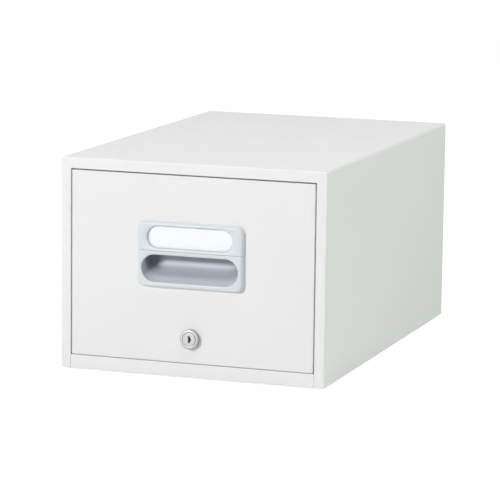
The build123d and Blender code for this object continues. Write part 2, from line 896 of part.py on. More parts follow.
def follower_plate():
    """Upright plate that holds the cards, with a foot on the shoe."""
    y0 = follower_rest_y - follower_foot / 2
    low = tub_floor + track_height + 2 * slider_play
    top = tub_floor + follower_top
    sheet = Rectangle(follower_width, top - low)
    sheet = fillet(sheet.vertices().group_by(Axis.Y)[-1], follower_corner)
    plate = prism(Pos(0, (low + top) / 2) * sheet, y0, y0 + follower_sheet)
    pad = slider_pad_width / 2 + slider_play
    plate -= slab(-pad, pad, y0 - past, y0 + follower_sheet + past, low - past, slider_top())
    foot_half = slider_pad_width / 2
    plate += slab(-foot_half, foot_half, y0, y0 + follower_foot, slider_top(), slider_top() + follower_sheet)
    for x in follower_screw_places():
        hole = (slider_top() - past, slider_top() + follower_sheet + past)
        plate -= rod_z(hole_radius, x, follower_screw_y(), *hole)
    return plate


def follower_screws():
    """Screws down through the plate's foot into the shoe."""
    seat = slider_top() + follower_sheet
    length = follower_sheet + slider_pad_height - slider_pad_floor
    return [
        Pos(x, follower_screw_y(), seat) * Rot(180, 0, 0) * pan_screw(length)
        for x in follower_screw_places()
    ]


def all_parts():
    """Every sub-part by name; a list holds several separate solids."""
    parts = {
        "case_wrapper": case_wrapper(),
        "back_panel": back_panel(),
        "bottom_panel": bottom_panel(),
        "front_rail": front_rail(),
        "top_stiffener": top_stiffener(),
        "foot_screws": foot_screws(),
        "slide_outer_screws": slide_outer_screws(),
        "rear_bumpers": rear_bumpers(),
        "drawer_front": drawer_front(),
        "tub_body": tub_body(),
        "tub_front_wall": tub_front_wall(),
        "tub_back_wall": tub_back_wall(),
        "drawer_front_screws": drawer_front_screws(),
        "slide_inner_screws": slide_inner_screws(),
        "handle_base": handle_base(),
        "handle_screws": handle_screws(),
        "label_frame": label_frame(),
        "label_cover": label_cover(),
        "label_card": label_card(),
        "lock_housing": lock_housing(),
        "lock_nut": lock_nut(),
        "lock_plug": lock_plug(),
        "lock_cam": lock_cam(),
        "cam_screw": cam_screw(),
        "follower_track": follower_track(),
        "track_rivets": track_rivets(),
        "follower_slider": follower_slider(),
        "follower_plate": follower_plate(),
        "follower_screws": follower_screws(),
    }
    corners = ("front_left", "front_right", "rear_left", "rear_right")
    for corner, (x, y) in zip(corners, foot_places()):
        parts[f"foot_{corner}"] = foot(x, y)
    for name, side in (("left", -1), ("right", 1)):
        parts[f"slide_outer_{name}"] = slide_outer(side)
        parts[f"slide_middle_{name}"] = slide_middle(side)
        parts[f"slide_inner_{name}"] = slide_inner(side)
        parts[f"slide_bracket_front_{name}"] = slide_bracket(side, bracket_front_y)
        parts[f"slide_bracket_rear_{name}"] = slide_bracket(side, bracket_rear_y)
        for ring_name, ring in (("outer", 0), ("inner", 1)):
            parts[f"ball_cage_{ring_name}_{name}"] = ball_cage(side, ring)
            parts[f"slide_balls_{ring_name}_{name}"] = slide_balls(side, ring)
    return parts


def main():
    """Moves each part into the cabinet's own frame and writes it."""
    os.makedirs("parts", exist_ok=True)
    to_base_middle = Pos(0, -origin_y, 0)
    for name, part in all_parts().items():
        solids = part if isinstance(part, list) else [part]
        placed = [solid for piece in solids for solid in (to_base_middle * piece).solids()]
        shape = placed[0] if len(placed) == 1 else Compound(children=placed)
        export_step(shape, f"parts/{name}.step")


main()
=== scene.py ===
"""Finishes, fine pieces, light and camera for a white steel desktop cabinet with one card drawer.

Sizes are in millimetres and become metres where they are handed to Blender. X runs to the right, Y from
the drawer's front to the back panel, and Z up. A depth is measured backwards from the drawer's front face.
"""

import json
import logging
import math
from collections.abc import Sequence
from dataclasses import dataclass, field
from enum import Enum
from typing import Any

import bmesh
import bpy
import numpy as np
from mathutils import Matrix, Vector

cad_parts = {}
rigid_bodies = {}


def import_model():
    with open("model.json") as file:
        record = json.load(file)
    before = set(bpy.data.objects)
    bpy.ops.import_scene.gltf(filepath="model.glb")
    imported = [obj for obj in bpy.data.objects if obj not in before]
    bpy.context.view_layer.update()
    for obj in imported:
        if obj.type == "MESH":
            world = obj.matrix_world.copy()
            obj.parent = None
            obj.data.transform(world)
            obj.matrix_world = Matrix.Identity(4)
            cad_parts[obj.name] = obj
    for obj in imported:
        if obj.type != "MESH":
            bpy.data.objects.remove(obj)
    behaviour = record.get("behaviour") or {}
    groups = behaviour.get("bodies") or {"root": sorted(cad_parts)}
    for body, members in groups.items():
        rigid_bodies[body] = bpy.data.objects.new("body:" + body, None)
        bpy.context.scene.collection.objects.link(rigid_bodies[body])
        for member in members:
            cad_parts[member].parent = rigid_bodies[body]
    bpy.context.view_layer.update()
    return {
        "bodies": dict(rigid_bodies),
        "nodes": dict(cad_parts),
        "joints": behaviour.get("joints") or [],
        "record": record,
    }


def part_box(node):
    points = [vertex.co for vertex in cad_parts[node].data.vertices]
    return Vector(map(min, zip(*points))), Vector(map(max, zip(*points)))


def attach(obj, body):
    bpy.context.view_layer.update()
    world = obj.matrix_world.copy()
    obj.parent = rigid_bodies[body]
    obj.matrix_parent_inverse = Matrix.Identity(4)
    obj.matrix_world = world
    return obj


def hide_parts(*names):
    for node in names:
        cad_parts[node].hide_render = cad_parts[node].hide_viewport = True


MM = 0.001
# In millimetres: keeps a radius just short of its limit, and a test of place just past a surface
HAIR = 0.05
# In millimetres: how near the corners of a CAD node, or of a new piece, must be to become one corner
NODE_WELD = 0.01
PIECE_WELD = 0.002
# In millimetres: a new piece's edges that are shorter are dissolved
SHORTEST_EDGE = 0.001
# Index of the Mix node's colour output
MIXED = 2
log = logging.getLogger("cabinet")


class Body(Enum):
    """The moving bodies that pieces ride on."""

    CABINET = "cabinet"
    DRAWER = "drawer"
    LOCK = "lock_cylinder"
    FOLLOWER = "card_follower"


class Slot(Enum):
    """The record's material slots."""

    CASE = "case_paint"
    FRONT = "front_paint"
    TUB = "tub_paint"
    PULL = "pull_plastic"
    COVER = "clear_plastic"
    PAPER = "label_paper"
    COLLAR = "lock_chrome"
    PLUG = "lock_nickel"
    ZINC = "zinc_steel"
    SCREW = "zinc_screw"
    CAGE = "cage_steel"
    BALL = "ball_steel"
    RUBBER = "foot_rubber"
    NYLON = "slider_nylon"


class Way(Enum):
    """The direction that a turned piece's axis points in."""

    FRONT = (0.0, -1.0, 0.0)
    BACK = (0.0, 1.0, 0.0)
    DOWN = (0.0, 0.0, -1.0)
    UP = (0.0, 0.0, 1.0)
    LEFT = (-1.0, 0.0, 0.0)
    RIGHT = (1.0, 0.0, 0.0)


# Places read from the frame


@dataclass(frozen=True)
class Place:
    """The box that a solid fills at rest, in millimetres."""

    low: np.ndarray
    high: np.ndarray

    @classmethod
    def of_node(cls, node: str) -> "Place":
        """The box of one CAD node."""
        low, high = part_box(node)
        return cls(np.array(low) / MM, np.array(high) / MM)

    @property
    def middle(self) -> np.ndarray:
        """The box's middle."""
        return (self.low + self.high) / 2

    @property
    def size(self) -> np.ndarray:
        """The box's extent along each axis."""
        return self.high - self.low


def corners_of(piece: bpy.types.Object) -> np.ndarray:
    """Reads a mesh's corners.

    Args:
        piece: a mesh object.

    Returns:
        Corners by (x, y, z), in millimetres.
    """
    points = np.zeros(len(piece.data.vertices) * 3, np.float32)
    piece.data.vertices.foreach_get("co", points)
    return points.reshape(-1, 3) / MM


def solids_of(node: bpy.types.Object) -> list[Place]:
    """Finds the separate solids of a CAD node.

    Corners that share a place are one corner. Each corner takes the lowest label among its triangles'
    corners again and again, until every solid carries a single label.

    Args:
        node: a CAD node, whose mesh is loose triangles.

    Returns:
        One box for each solid.
    """
    mesh = node.data
    points = corners_of(node)
    mesh.calc_loop_triangles()
    triangles = np.zeros(len(mesh.loop_triangles) * 3, np.int32)
    mesh.loop_triangles.foreach_get("vertices", triangles)
    _, corner = np.unique(np.round(points / NODE_WELD).astype(np.int64), axis=0, return_inverse=True)
    triangles = corner.reshape(-1)[triangles.reshape(-1, 3)]
    label = np.arange(corner.max() + 1)
    while True:
        lowest = label[triangles].min(axis=1)
        spread = label.copy()
        np.minimum.at(spread, triangles.ravel(), np.repeat(lowest, 3))
        spread = spread[spread]
        if np.array_equal(spread, label):
            break
        label = spread
    owner = label[corner.reshape(-1)]
    return [Place(points[owner == one].min(0), points[owner == one].max(0)) for one in np.unique(owner)]


# Surfaces worked out on grids


@dataclass(frozen=True)
class Rounded:
    """Outlines with round corners that all have the same number of points, so that they loft together.

    An outline is four quarter circles joined by straight runs. Each point has a corner before it, a corner
    after it, a share of the way between them and an angle; on a quarter circle both corners are the same.
    """

    corner_steps: int
    long_steps: int
    short_steps: int

    def ring(
        self,
        width: np.ndarray,
        low: np.ndarray,
        high: np.ndarray,
        round_low: np.ndarray,
        round_high: np.ndarray,
    ) -> np.ndarray:
        """Works out one outline for each entry of the arrays.

        A point is the mix of its two corners' centres, plus the mix of their radii along its angle.

        Args:
            width: overall width, about x = 0.
            low: height of the lower edge.
            high: height of the upper edge.
            round_low: radius of the two lower corners.
            round_high: radius of the two upper corners.

        Returns:
            An array of outlines by points by (x, z).
        """
        before, after, share, angle = self._samples()
        half = np.asarray(width, float)[:, None] / 2
        low, high = np.asarray(low, float)[:, None], np.asarray(high, float)[:, None]
        round_low, round_high = np.asarray(round_low, float)[:, None], np.asarray(round_high, float)[:, None]

        def centre(sign: np.ndarray) -> tuple[np.ndarray, np.ndarray, np.ndarray]:
            """Finds each point's corner: half the width less the radius out, and a radius in from its edge.

            Args:
                sign: the corner's side and whether it is an upper one, each as 1 or -1.

            Returns:
                Distance to the side, height and radius.
            """
            radius = np.where(sign[:, 1] > 0, round_high, round_low)
            height = np.where(sign[:, 1] > 0, high - radius, low + radius)
            return sign[:, 0] * (half - radius), height, radius

        ax, az, ar = centre(before)
        bx, bz, br = centre(after)
        radius = (1 - share) * ar + share * br
        x = (1 - share) * ax + share * bx + radius * np.cos(angle)
        z = (1 - share) * az + share * bz + radius * np.sin(angle)
        return np.stack([x, z], axis=-1)

    def _samples(self) -> tuple[np.ndarray, np.ndarray, np.ndarray, np.ndarray]:
        """Works out each point's place along an outline, anticlockwise from the lower right corner.

        Returns:
            Signs of the corner before, signs of the corner after, share of the way and angle.
        """
        signs = np.array([[1, -1], [1, 1], [-1, 1], [-1, -1]])
        before, after, share, angle = [], [], [], []
        for k in range(4):
            turn = np.linspace(k - 1, k, self.corner_steps + 1) * math.pi / 2
            steps = self.short_steps if k % 2 == 0 else self.long_steps
            run = np.arange(1, steps) / steps
            before += [np.tile(signs[k], (len(turn) + len(run), 1))]
            after += [np.tile(signs[k], (len(turn), 1)), np.tile(signs[(k + 1) % 4], (len(run), 1))]
            share += [np.zeros(len(turn)), run]
            angle += [turn, np.full(len(run), k * math.pi / 2)]
        return np.concatenate(before), np.concatenate(after), np.concatenate(share), np.concatenate(angle)


def stand(outlines: np.ndarray, depth: np.ndarray, front: float) -> np.ndarray:
    """Stands (x, z) outlines upright in space, each at its own depth behind the front face."""
    y = np.broadcast_to(front + np.asarray(depth, float)[:, None], outlines.shape[:2])
    return np.stack([outlines[..., 0], y, outlines[..., 1]], axis=-1)


def smooth(share: np.ndarray) -> np.ndarray:
    """A smooth step: 0 up to a share of 0, 1 from a share of 1, and 3 s squared less 2 s cubed between."""
    share = np.clip(share, 0.0, 1.0)
    return share**2 * (3 - 2 * share)


def quarter(steps: int) -> np.ndarray:
    """Angles from 0 to a right angle."""
    return np.linspace(0.0, math.pi / 2, steps)


def turned(profile: np.ndarray, middle: np.ndarray, way: Way, steps: int) -> np.ndarray:
    """Turns a profile about an axis: each profile point becomes a circle.

    Args:
        profile: (radius, distance along the axis) of each point.
        middle: a point of the axis, where the distance is 0.
        way: the direction that the distance is measured in.
        steps: points around each circle.

    Returns:
        An array of circles by points by (x, y, z).
    """
    axis = np.array(way.value)
    first = np.roll(np.abs(axis), 1)
    second = np.cross(axis, first)
    around = np.linspace(0.0, 2 * math.pi, steps, endpoint=False)
    circle = np.cos(around)[:, None] * first + np.sin(around)[:, None] * second
    radius, along = np.asarray(profile, float).T
    return middle + radius[:, None, None] * circle + along[:, None, None] * axis


def make_piece(
    name: str, shells: Sequence[np.ndarray], loop: bool = False, crease_deg: float = 32.0
) -> bpy.types.Object:
    """Makes one mesh object from closed shells.

    Each shell is an array of rings by points by (x, y, z). Every ring closes on itself, and neighbouring
    rings are joined by four-sided faces. A ring that shrinks to a line or a point closes the shell's end.

    Args:
        name: the piece's name.
        shells: the shells, in millimetres.
        loop: joins the last ring to the first one, for a frame around a hole.
        crease_deg: edges that turn by more than this stay sharp.

    Returns:
        The object, at the origin, with its place in its mesh.
    """
    points, faces, start = [], [], 0
    for shell in shells:
        rings, around = shell.shape[:2]
        index = np.arange(rings * around).reshape(rings, around) + start
        ahead = np.roll(index, -1, axis=0) if loop else index[1:]
        here = index if loop else index[:-1]
        quad = np.stack([here, np.roll(here, -1, axis=1), np.roll(ahead, -1, axis=1), ahead], axis=-1)
        points.append(shell.reshape(-1, 3))
        faces.append(quad.reshape(-1, 4))
        start += rings * around
    mesh = bpy.data.meshes.new(name)
    mesh.from_pydata(np.concatenate(points) * MM, [], np.concatenate(faces))
    work = bmesh.new()
    work.from_mesh(mesh)
    bmesh.ops.remove_doubles(work, verts=work.verts, dist=PIECE_WELD * MM)
    bmesh.ops.dissolve_degenerate(work, edges=work.edges, dist=SHORTEST_EDGE * MM)
    bmesh.ops.recalc_face_normals(work, faces=work.faces)
    work.to_mesh(mesh)
    work.free()
    mesh.shade_smooth()
    mesh.set_sharp_from_angle(angle=math.radians(crease_deg))
    piece = bpy.data.objects.new(name, mesh)
    bpy.context.scene.collection.objects.link(piece)
    return piece


def mark(piece: bpy.types.Object, name: str, share: np.ndarray) -> None:
    """Writes a share from 0 to 1 for each corner as an attribute that a finish reads."""
    layer = piece.data.attributes.new(name, "FLOAT", "POINT")
    layer.data.foreach_set("value", share.astype(np.float32))


# Finishes


def linear(hex_colour: str) -> tuple[float, float, float, float]:
    """Turns an sRGB hex colour to linear RGBA.

    A value up to 0.04045 is divided by 12.92; a higher one is raised to 2.4 after adding 0.055 and dividing
    by 1.055.

    Args:
        hex_colour: the colour as "#rrggbb".

    Returns:
        Red, green, blue and an alpha of 1.
    """
    value = np.array([int(hex_colour[i:i + 2], 16) for i in (1, 3, 5)]) / 255
    mixed = np.where(value <= 0.04045, value / 12.92, ((value + 0.055) / 1.055) ** 2.4)
    return (*mixed.tolist(), 1.0)


def add_node(
    tree: bpy.types.NodeTree, kind: str, values: dict[str, Any] | None = None, **links: Any
) -> bpy.types.Node:
    """Adds one node with its settings and links.

    Args:
        tree: the node tree.
        kind: the node's type.
        values: settings, by the name of a property or the identifier of an input.
        links: output sockets by the identifier of the input that they feed, with underscores for its spaces.

    Returns:
        The new node.
    """
    node = tree.nodes.new(kind)
    inputs = {socket.identifier: socket for socket in node.inputs}
    for name, value in (values or {}).items():
        if hasattr(node, name):
            setattr(node, name, value)
        else:
            inputs[name].default_value = value
    for name, source in links.items():
        tree.links.new(source, inputs.get(name) or inputs[name.replace("_", " ")])
    return node


def cleared(owner: bpy.types.Material | bpy.types.World) -> bpy.types.NodeTree:
    """Turns on the nodes of a material or a world and removes the ones that it starts with.

    Args:
        owner: the material or the world.

    Returns:
        Its empty node tree.
    """
    owner.use_nodes = True
    owner.node_tree.nodes.clear()
    return owner.node_tree


@dataclass(frozen=True)
class Finish:
    """What every finish has: a name, the slot it fills, its colour and the level of its gloss."""

    name: str
    slot: Slot
    colour: str
    roughness: float
    metallic: float = 0.0

    def build(self) -> bpy.types.Material:
        """Makes the material: its shader, and the nodes of the finish's own pattern.

        Returns:
            The material.
        """
        material = bpy.data.materials.new(self.name)
        tree = cleared(material)
        shader = add_node(tree, "ShaderNodeBsdfPrincipled", {
            "Base Color": linear(self.colour), "Roughness": self.roughness, "Metallic": self.metallic,
        })
        add_node(tree, "ShaderNodeOutputMaterial", Surface=shader.outputs["BSDF"])
        where = add_node(tree, "ShaderNodeTexCoord").outputs["Object"]
        self.pattern(tree, shader, where)
        return material

    def pattern(self, tree: bpy.types.NodeTree, shader: bpy.types.Node, where: bpy.types.NodeSocket) -> None:
        """Adds the pattern's nodes; each finish has its own."""
        raise NotImplementedError

    @staticmethod
    def per_metre(size_mm: float) -> float:
        """A texture's scale for features of a real size, on coordinates in metres."""
        return 1 / (size_mm * MM)


@dataclass(frozen=True, kw_only=True)
class PowderCoat(Finish):
    """Polyester powder baked on sheet steel: satin, with the faint orange peel of the melted powder."""

    shade: str
    peel_mm: float = 2.6
    peel_height_mm: float = 0.012
    speck_mm: float = 0.8
    speck_share: float = 0.3
    gloss_change: float = 0.05
    cloud_mm: float = 110.0

    def pattern(self, tree: bpy.types.NodeTree, shader: bpy.types.Node, where: bpy.types.NodeSocket) -> None:
        """Broad clouds in the colour, and two sizes of relief: the peel and the powder's grain.

        Real powder grain is near 0.1 mm; it is drawn at 0.8 mm so that it shows at all.

        Args:
            tree: the material's node tree.
            shader: the finish's shader node.
            where: the object coordinates.
        """
        cloud = add_node(tree, "ShaderNodeTexNoise", {
            "Scale": self.per_metre(self.cloud_mm), "Detail": 3.0, "Roughness": 0.5,
        }, Vector=where)
        tone = add_node(tree, "ShaderNodeMix", {
            "data_type": "RGBA", "A_Color": linear(self.shade), "B_Color": linear(self.colour),
        }, Factor_Float=cloud.outputs["Fac"])
        tree.links.new(tone.outputs[MIXED], shader.inputs["Base Color"])
        peel = add_node(tree, "ShaderNodeTexNoise", {
            "Scale": self.per_metre(self.peel_mm), "Detail": 1.0, "Roughness": 0.4,
        }, Vector=where)
        speck = add_node(tree, "ShaderNodeTexNoise", {
            "Scale": self.per_metre(self.speck_mm), "Detail": 2.0, "Roughness": 0.6,
        }, Vector=where)
        relief = add_node(tree, "ShaderNodeMath", {
            "operation": "MULTIPLY_ADD", "Value_001": self.speck_share,
        }, Value=speck.outputs["Fac"], Value_002=peel.outputs["Fac"])
        bump = add_node(tree, "ShaderNodeBump", {
            "Strength": 1.0, "Distance": self.peel_height_mm * MM,
        }, Height=relief.outputs["Value"])
        tree.links.new(bump.outputs["Normal"], shader.inputs["Normal"])
        gloss = add_node(tree, "ShaderNodeMapRange", {
            "To Min": self.roughness - self.gloss_change, "To Max": self.roughness + self.gloss_change,
        }, Value=speck.outputs["Fac"])
        tree.links.new(gloss.outputs["Result"], shader.inputs["Roughness"])


@dataclass(frozen=True, kw_only=True)
class WeldedCoat(PowderCoat):
    """The same powder over the rear flanges' spot welds, which show through it as rows of shallow dimples."""

    rear_mm: float = 241.0
    side_row_mm: float = 147.0
    top_row_mm: float = 232.0
    pitch_mm: float = 48.0
    weld_mm: float = 4.4
    weld_depth_mm: float = 0.5
    weld_painted_shade: str = "#d9dada"

    def pattern(self, tree: bpy.types.NodeTree, shader: bpy.types.Node, where: bpy.types.NodeSocket) -> None:
        """The coat's own pattern, and a dimple wherever a point is near a weld's middle.

        A row's distance is the length of three parts: across the row, behind the case and along the row to
        the nearest weld, which goes up and down over one pitch and starts half a pitch from 0. The relief and
        a slight painted shade in the dimple are a smooth step of the nearer row's distance.

        Args:
            tree: the material's node tree.
            shader: the finish's shader node.
            where: the object coordinates.
        """
        super().pattern(tree, shader, where)
        coat, colour = (shader.inputs[name].links[0].from_socket for name in ("Normal", "Base Color"))
        at = add_node(tree, "ShaderNodeSeparateXYZ", Vector=where).outputs
        aside = add_node(tree, "ShaderNodeMath", {"operation": "ABSOLUTE"}, Value=at["X"])
        behind = add_node(
            tree, "ShaderNodeMath", {"operation": "SUBTRACT", "Value_001": self.rear_mm * MM}, Value=at["Y"]
        )
        near = []
        for across, line, along in (
            (aside.outputs["Value"], self.side_row_mm, at["Z"]),
            (at["Z"], self.top_row_mm, at["X"]),
        ):
            off = add_node(
                tree, "ShaderNodeMath", {"operation": "SUBTRACT", "Value_001": line * MM}, Value=across
            )
            begun = add_node(
                tree, "ShaderNodeMath", {"operation": "ADD", "Value_001": self.pitch_mm * MM / 2}, Value=along
            )
            step = add_node(tree, "ShaderNodeMath", {
                "operation": "PINGPONG", "Value_001": self.pitch_mm * MM / 2,
            }, Value=begun.outputs["Value"])
            apart = add_node(
                tree, "ShaderNodeCombineXYZ",
                X=off.outputs["Value"], Y=behind.outputs["Value"], Z=step.outputs["Value"],
            )
            near.append(add_node(
                tree, "ShaderNodeVectorMath", {"operation": "LENGTH"}, Vector=apart.outputs["Vector"]
            ).outputs["Value"])
        nearest = add_node(
            tree, "ShaderNodeMath", {"operation": "MINIMUM"}, Value=near[0], Value_001=near[1]
        )
        dent = add_node(tree, "ShaderNodeMapRange", {
            "interpolation_type": "SMOOTHSTEP", "From Max": self.weld_mm * MM,
        }, Value=nearest.outputs["Value"])
        bump = add_node(tree, "ShaderNodeBump", {
            "Strength": 1.0, "Distance": self.weld_depth_mm * MM,
        }, Height=dent.outputs["Result"], Normal=coat)
        tree.links.new(bump.outputs["Normal"], shader.inputs["Normal"])
        # Painted shade: a slight grey in each weld's dimple
        tone = add_node(tree, "ShaderNodeMix", {
            "data_type": "RGBA", "A_Color": linear(self.weld_painted_shade),
        }, Factor_Float=dent.outputs["Result"], B_Color=colour)
        tree.links.new(tone.outputs[MIXED], shader.inputs["Base Color"])


@dataclass(frozen=True, kw_only=True)
class MouldedAbs(Finish):
    """Injection-moulded ABS from a spark-eroded tool: satin, with a fine even grain.

    The piece's attribute "grip" goes from 0 on the face to 1 in the finger cup, where a darker grey is
    painted shade, and a second attribute goes to 1 in the cup's left end, where the painted shade is darker
    still.
    """

    shade: str
    # Painted shade: the cup's darker grey, and the darker grey of its ends
    cup_shade: str = "#adb4bf"
    end_shade: str = "#6d7980"
    flow_mm: float = 35.0
    grain_mm: float = 0.7
    grain_height_mm: float = 0.006

    def pattern(self, tree: bpy.types.NodeTree, shader: bpy.types.Node, where: bpy.types.NodeSocket) -> None:
        """A faint flow cloud in the colour, and the tool's grain as relief, drawn coarser so that it shows.

        Args:
            tree: the material's node tree.
            shader: the finish's shader node.
            where: the object coordinates.
        """
        cloud = add_node(tree, "ShaderNodeTexNoise", {
            "Scale": self.per_metre(self.flow_mm), "Detail": 2.0,
        }, Vector=where)
        tone = add_node(tree, "ShaderNodeMix", {
            "data_type": "RGBA", "A_Color": linear(self.shade), "B_Color": linear(self.colour),
        }, Factor_Float=cloud.outputs["Fac"])
        # Painted shade: the cup's grey and the cup end's darker grey, mixed in by the two attributes
        for name, cup_shade in (("grip", self.cup_shade), ("end_shade", self.end_shade)):
            share = add_node(tree, "ShaderNodeAttribute", {"attribute_name": name})
            tone = add_node(tree, "ShaderNodeMix", {
                "data_type": "RGBA", "B_Color": linear(cup_shade),
            }, Factor_Float=share.outputs["Fac"], A_Color=tone.outputs[MIXED])
        tree.links.new(tone.outputs[MIXED], shader.inputs["Base Color"])
        grain = add_node(tree, "ShaderNodeTexVoronoi", {
            "Scale": self.per_metre(self.grain_mm), "feature": "SMOOTH_F1",
        }, Vector=where)
        bump = add_node(tree, "ShaderNodeBump", {
            "Strength": 1.0, "Distance": self.grain_height_mm * MM,
        }, Height=grain.outputs["Distance"])
        tree.links.new(bump.outputs["Normal"], shader.inputs["Normal"])


@dataclass(frozen=True)
class ClearSheet(Finish):
    """Clear PVC sheet over the label: glossy, nearly invisible but for its reflections."""

    alpha: float = 0.08
    ripple_mm: float = 18.0
    ripple_height_mm: float = 0.02

    def pattern(self, tree: bpy.types.NodeTree, shader: bpy.types.Node, where: bpy.types.NodeSocket) -> None:
        """A very slow ripple, as extruded sheet has.

        Args:
            tree: the material's node tree.
            shader: the finish's shader node.
            where: the object coordinates.
        """
        shader.inputs["Alpha"].default_value = self.alpha
        ripple = add_node(tree, "ShaderNodeTexNoise", {
            "Scale": self.per_metre(self.ripple_mm), "Detail": 0.0,
        }, Vector=where)
        bump = add_node(tree, "ShaderNodeBump", {
            "Strength": 0.3, "Distance": self.ripple_height_mm * MM,
        }, Height=ripple.outputs["Fac"])
        tree.links.new(bump.outputs["Normal"], shader.inputs["Normal"])


@dataclass(frozen=True)
class LabelPaper(Finish):
    """Uncoated white card: matt, with short fibres, and a faint painted glow that lifts its white."""

    shade: str = "#f3f6f8"
    glow: str = "#dce8ff"
    painted_glow_level: float = 0.05
    fibre_mm: float = 0.9
    fibre_height_mm: float = 0.01
    stretch: tuple[float, float, float] = (0.35, 1.0, 1.0)

    def pattern(self, tree: bpy.types.NodeTree, shader: bpy.types.Node, where: bpy.types.NodeSocket) -> None:
        """Fibre noise stretched along the card, in colour and relief.

        Args:
            tree: the material's node tree.
            shader: the finish's shader node.
            where: the object coordinates.
        """
        # Painted glow: a faint bluish emission, though the card is no lamp
        shader.inputs["Emission Color"].default_value = linear(self.glow)
        shader.inputs["Emission Strength"].default_value = self.painted_glow_level
        along = add_node(tree, "ShaderNodeMapping", {"Scale": self.stretch}, Vector=where)
        fibre = add_node(tree, "ShaderNodeTexNoise", {
            "Scale": self.per_metre(self.fibre_mm), "Detail": 4.0, "Roughness": 0.6,
        }, Vector=along.outputs["Vector"])
        tone = add_node(tree, "ShaderNodeMix", {
            "data_type": "RGBA", "A_Color": linear(self.shade), "B_Color": linear(self.colour),
        }, Factor_Float=fibre.outputs["Fac"])
        tree.links.new(tone.outputs[MIXED], shader.inputs["Base Color"])
        bump = add_node(tree, "ShaderNodeBump", {
            "Strength": 0.4, "Distance": self.fibre_height_mm * MM,
        }, Height=fibre.outputs["Fac"])
        tree.links.new(bump.outputs["Normal"], shader.inputs["Normal"])


@dataclass(frozen=True, kw_only=True)
class PlatedMetal(Finish):
    """Plated or polished metal: turning or drawing marks along one direction, and small changes of gloss.

    Where the piece's shade attribute is above 0, a darker grey is mixed in: painted shade in the keyway and
    on a flank.
    """

    shade: str
    painted_shade: str = "#8f8d88"
    marks_mm: float = 0.35
    marks_height_mm: float = 0.003
    stretch: tuple[float, float, float] = (1.0, 0.02, 1.0)
    smoother: float = 0.06
    rougher: float = 0.08

    def pattern(self, tree: bpy.types.NodeTree, shader: bpy.types.Node, where: bpy.types.NodeSocket) -> None:
        """Noise stretched along the marks drives the colour, the roughness and a shallow relief.

        Args:
            tree: the material's node tree.
            shader: the finish's shader node.
            where: the object coordinates.
        """
        along = add_node(tree, "ShaderNodeMapping", {"Scale": self.stretch}, Vector=where)
        marks = add_node(tree, "ShaderNodeTexNoise", {
            "Scale": self.per_metre(self.marks_mm), "Detail": 3.0, "Roughness": 0.6,
        }, Vector=along.outputs["Vector"])
        plated = add_node(tree, "ShaderNodeMix", {
            "data_type": "RGBA", "A_Color": linear(self.shade), "B_Color": linear(self.colour),
        }, Factor_Float=marks.outputs["Fac"])
        # Painted shade: a darker grey by the piece's attribute, in the keyway and on the lock collar's flank
        shade_share = add_node(tree, "ShaderNodeAttribute", {"attribute_name": "painted_shade"})
        tone = add_node(tree, "ShaderNodeMix", {
            "data_type": "RGBA", "B_Color": linear(self.painted_shade),
        }, Factor_Float=shade_share.outputs["Fac"], A_Color=plated.outputs[MIXED])
        tree.links.new(tone.outputs[MIXED], shader.inputs["Base Color"])
        gloss = add_node(tree, "ShaderNodeMapRange", {
            "To Min": self.roughness - self.smoother, "To Max": self.roughness + self.rougher,
        }, Value=marks.outputs["Fac"])
        tree.links.new(gloss.outputs["Result"], shader.inputs["Roughness"])
        bump = add_node(tree, "ShaderNodeBump", {
            "Strength": 1.0, "Distance": self.marks_height_mm * MM,
        }, Height=marks.outputs["Fac"])
        tree.links.new(bump.outputs["Normal"], shader.inputs["Normal"])


@dataclass(frozen=True)
class MouldedRubber(Finish):
    """Black moulded rubber or natural nylon: matt, with a soft fine grain."""

    shade: str = "#1d1d1e"
    grain_mm: float = 0.6
    grain_height_mm: float = 0.02

    def pattern(self, tree: bpy.types.NodeTree, shader: bpy.types.Node, where: bpy.types.NodeSocket) -> None:
        """Fine noise in colour and relief.

        Args:
            tree: the material's node tree.
            shader: the finish's shader node.
            where: the object coordinates.
        """
        grain = add_node(tree, "ShaderNodeTexNoise", {
            "Scale": self.per_metre(self.grain_mm), "Detail": 3.0,
        }, Vector=where)
        tone = add_node(tree, "ShaderNodeMix", {
            "data_type": "RGBA", "A_Color": linear(self.shade), "B_Color": linear(self.colour),
        }, Factor_Float=grain.outputs["Fac"])
        tree.links.new(tone.outputs[MIXED], shader.inputs["Base Color"])
        bump = add_node(tree, "ShaderNodeBump", {
            "Strength": 0.6, "Distance": self.grain_height_mm * MM,
        }, Height=grain.outputs["Fac"])
        tree.links.new(bump.outputs["Normal"], shader.inputs["Normal"])


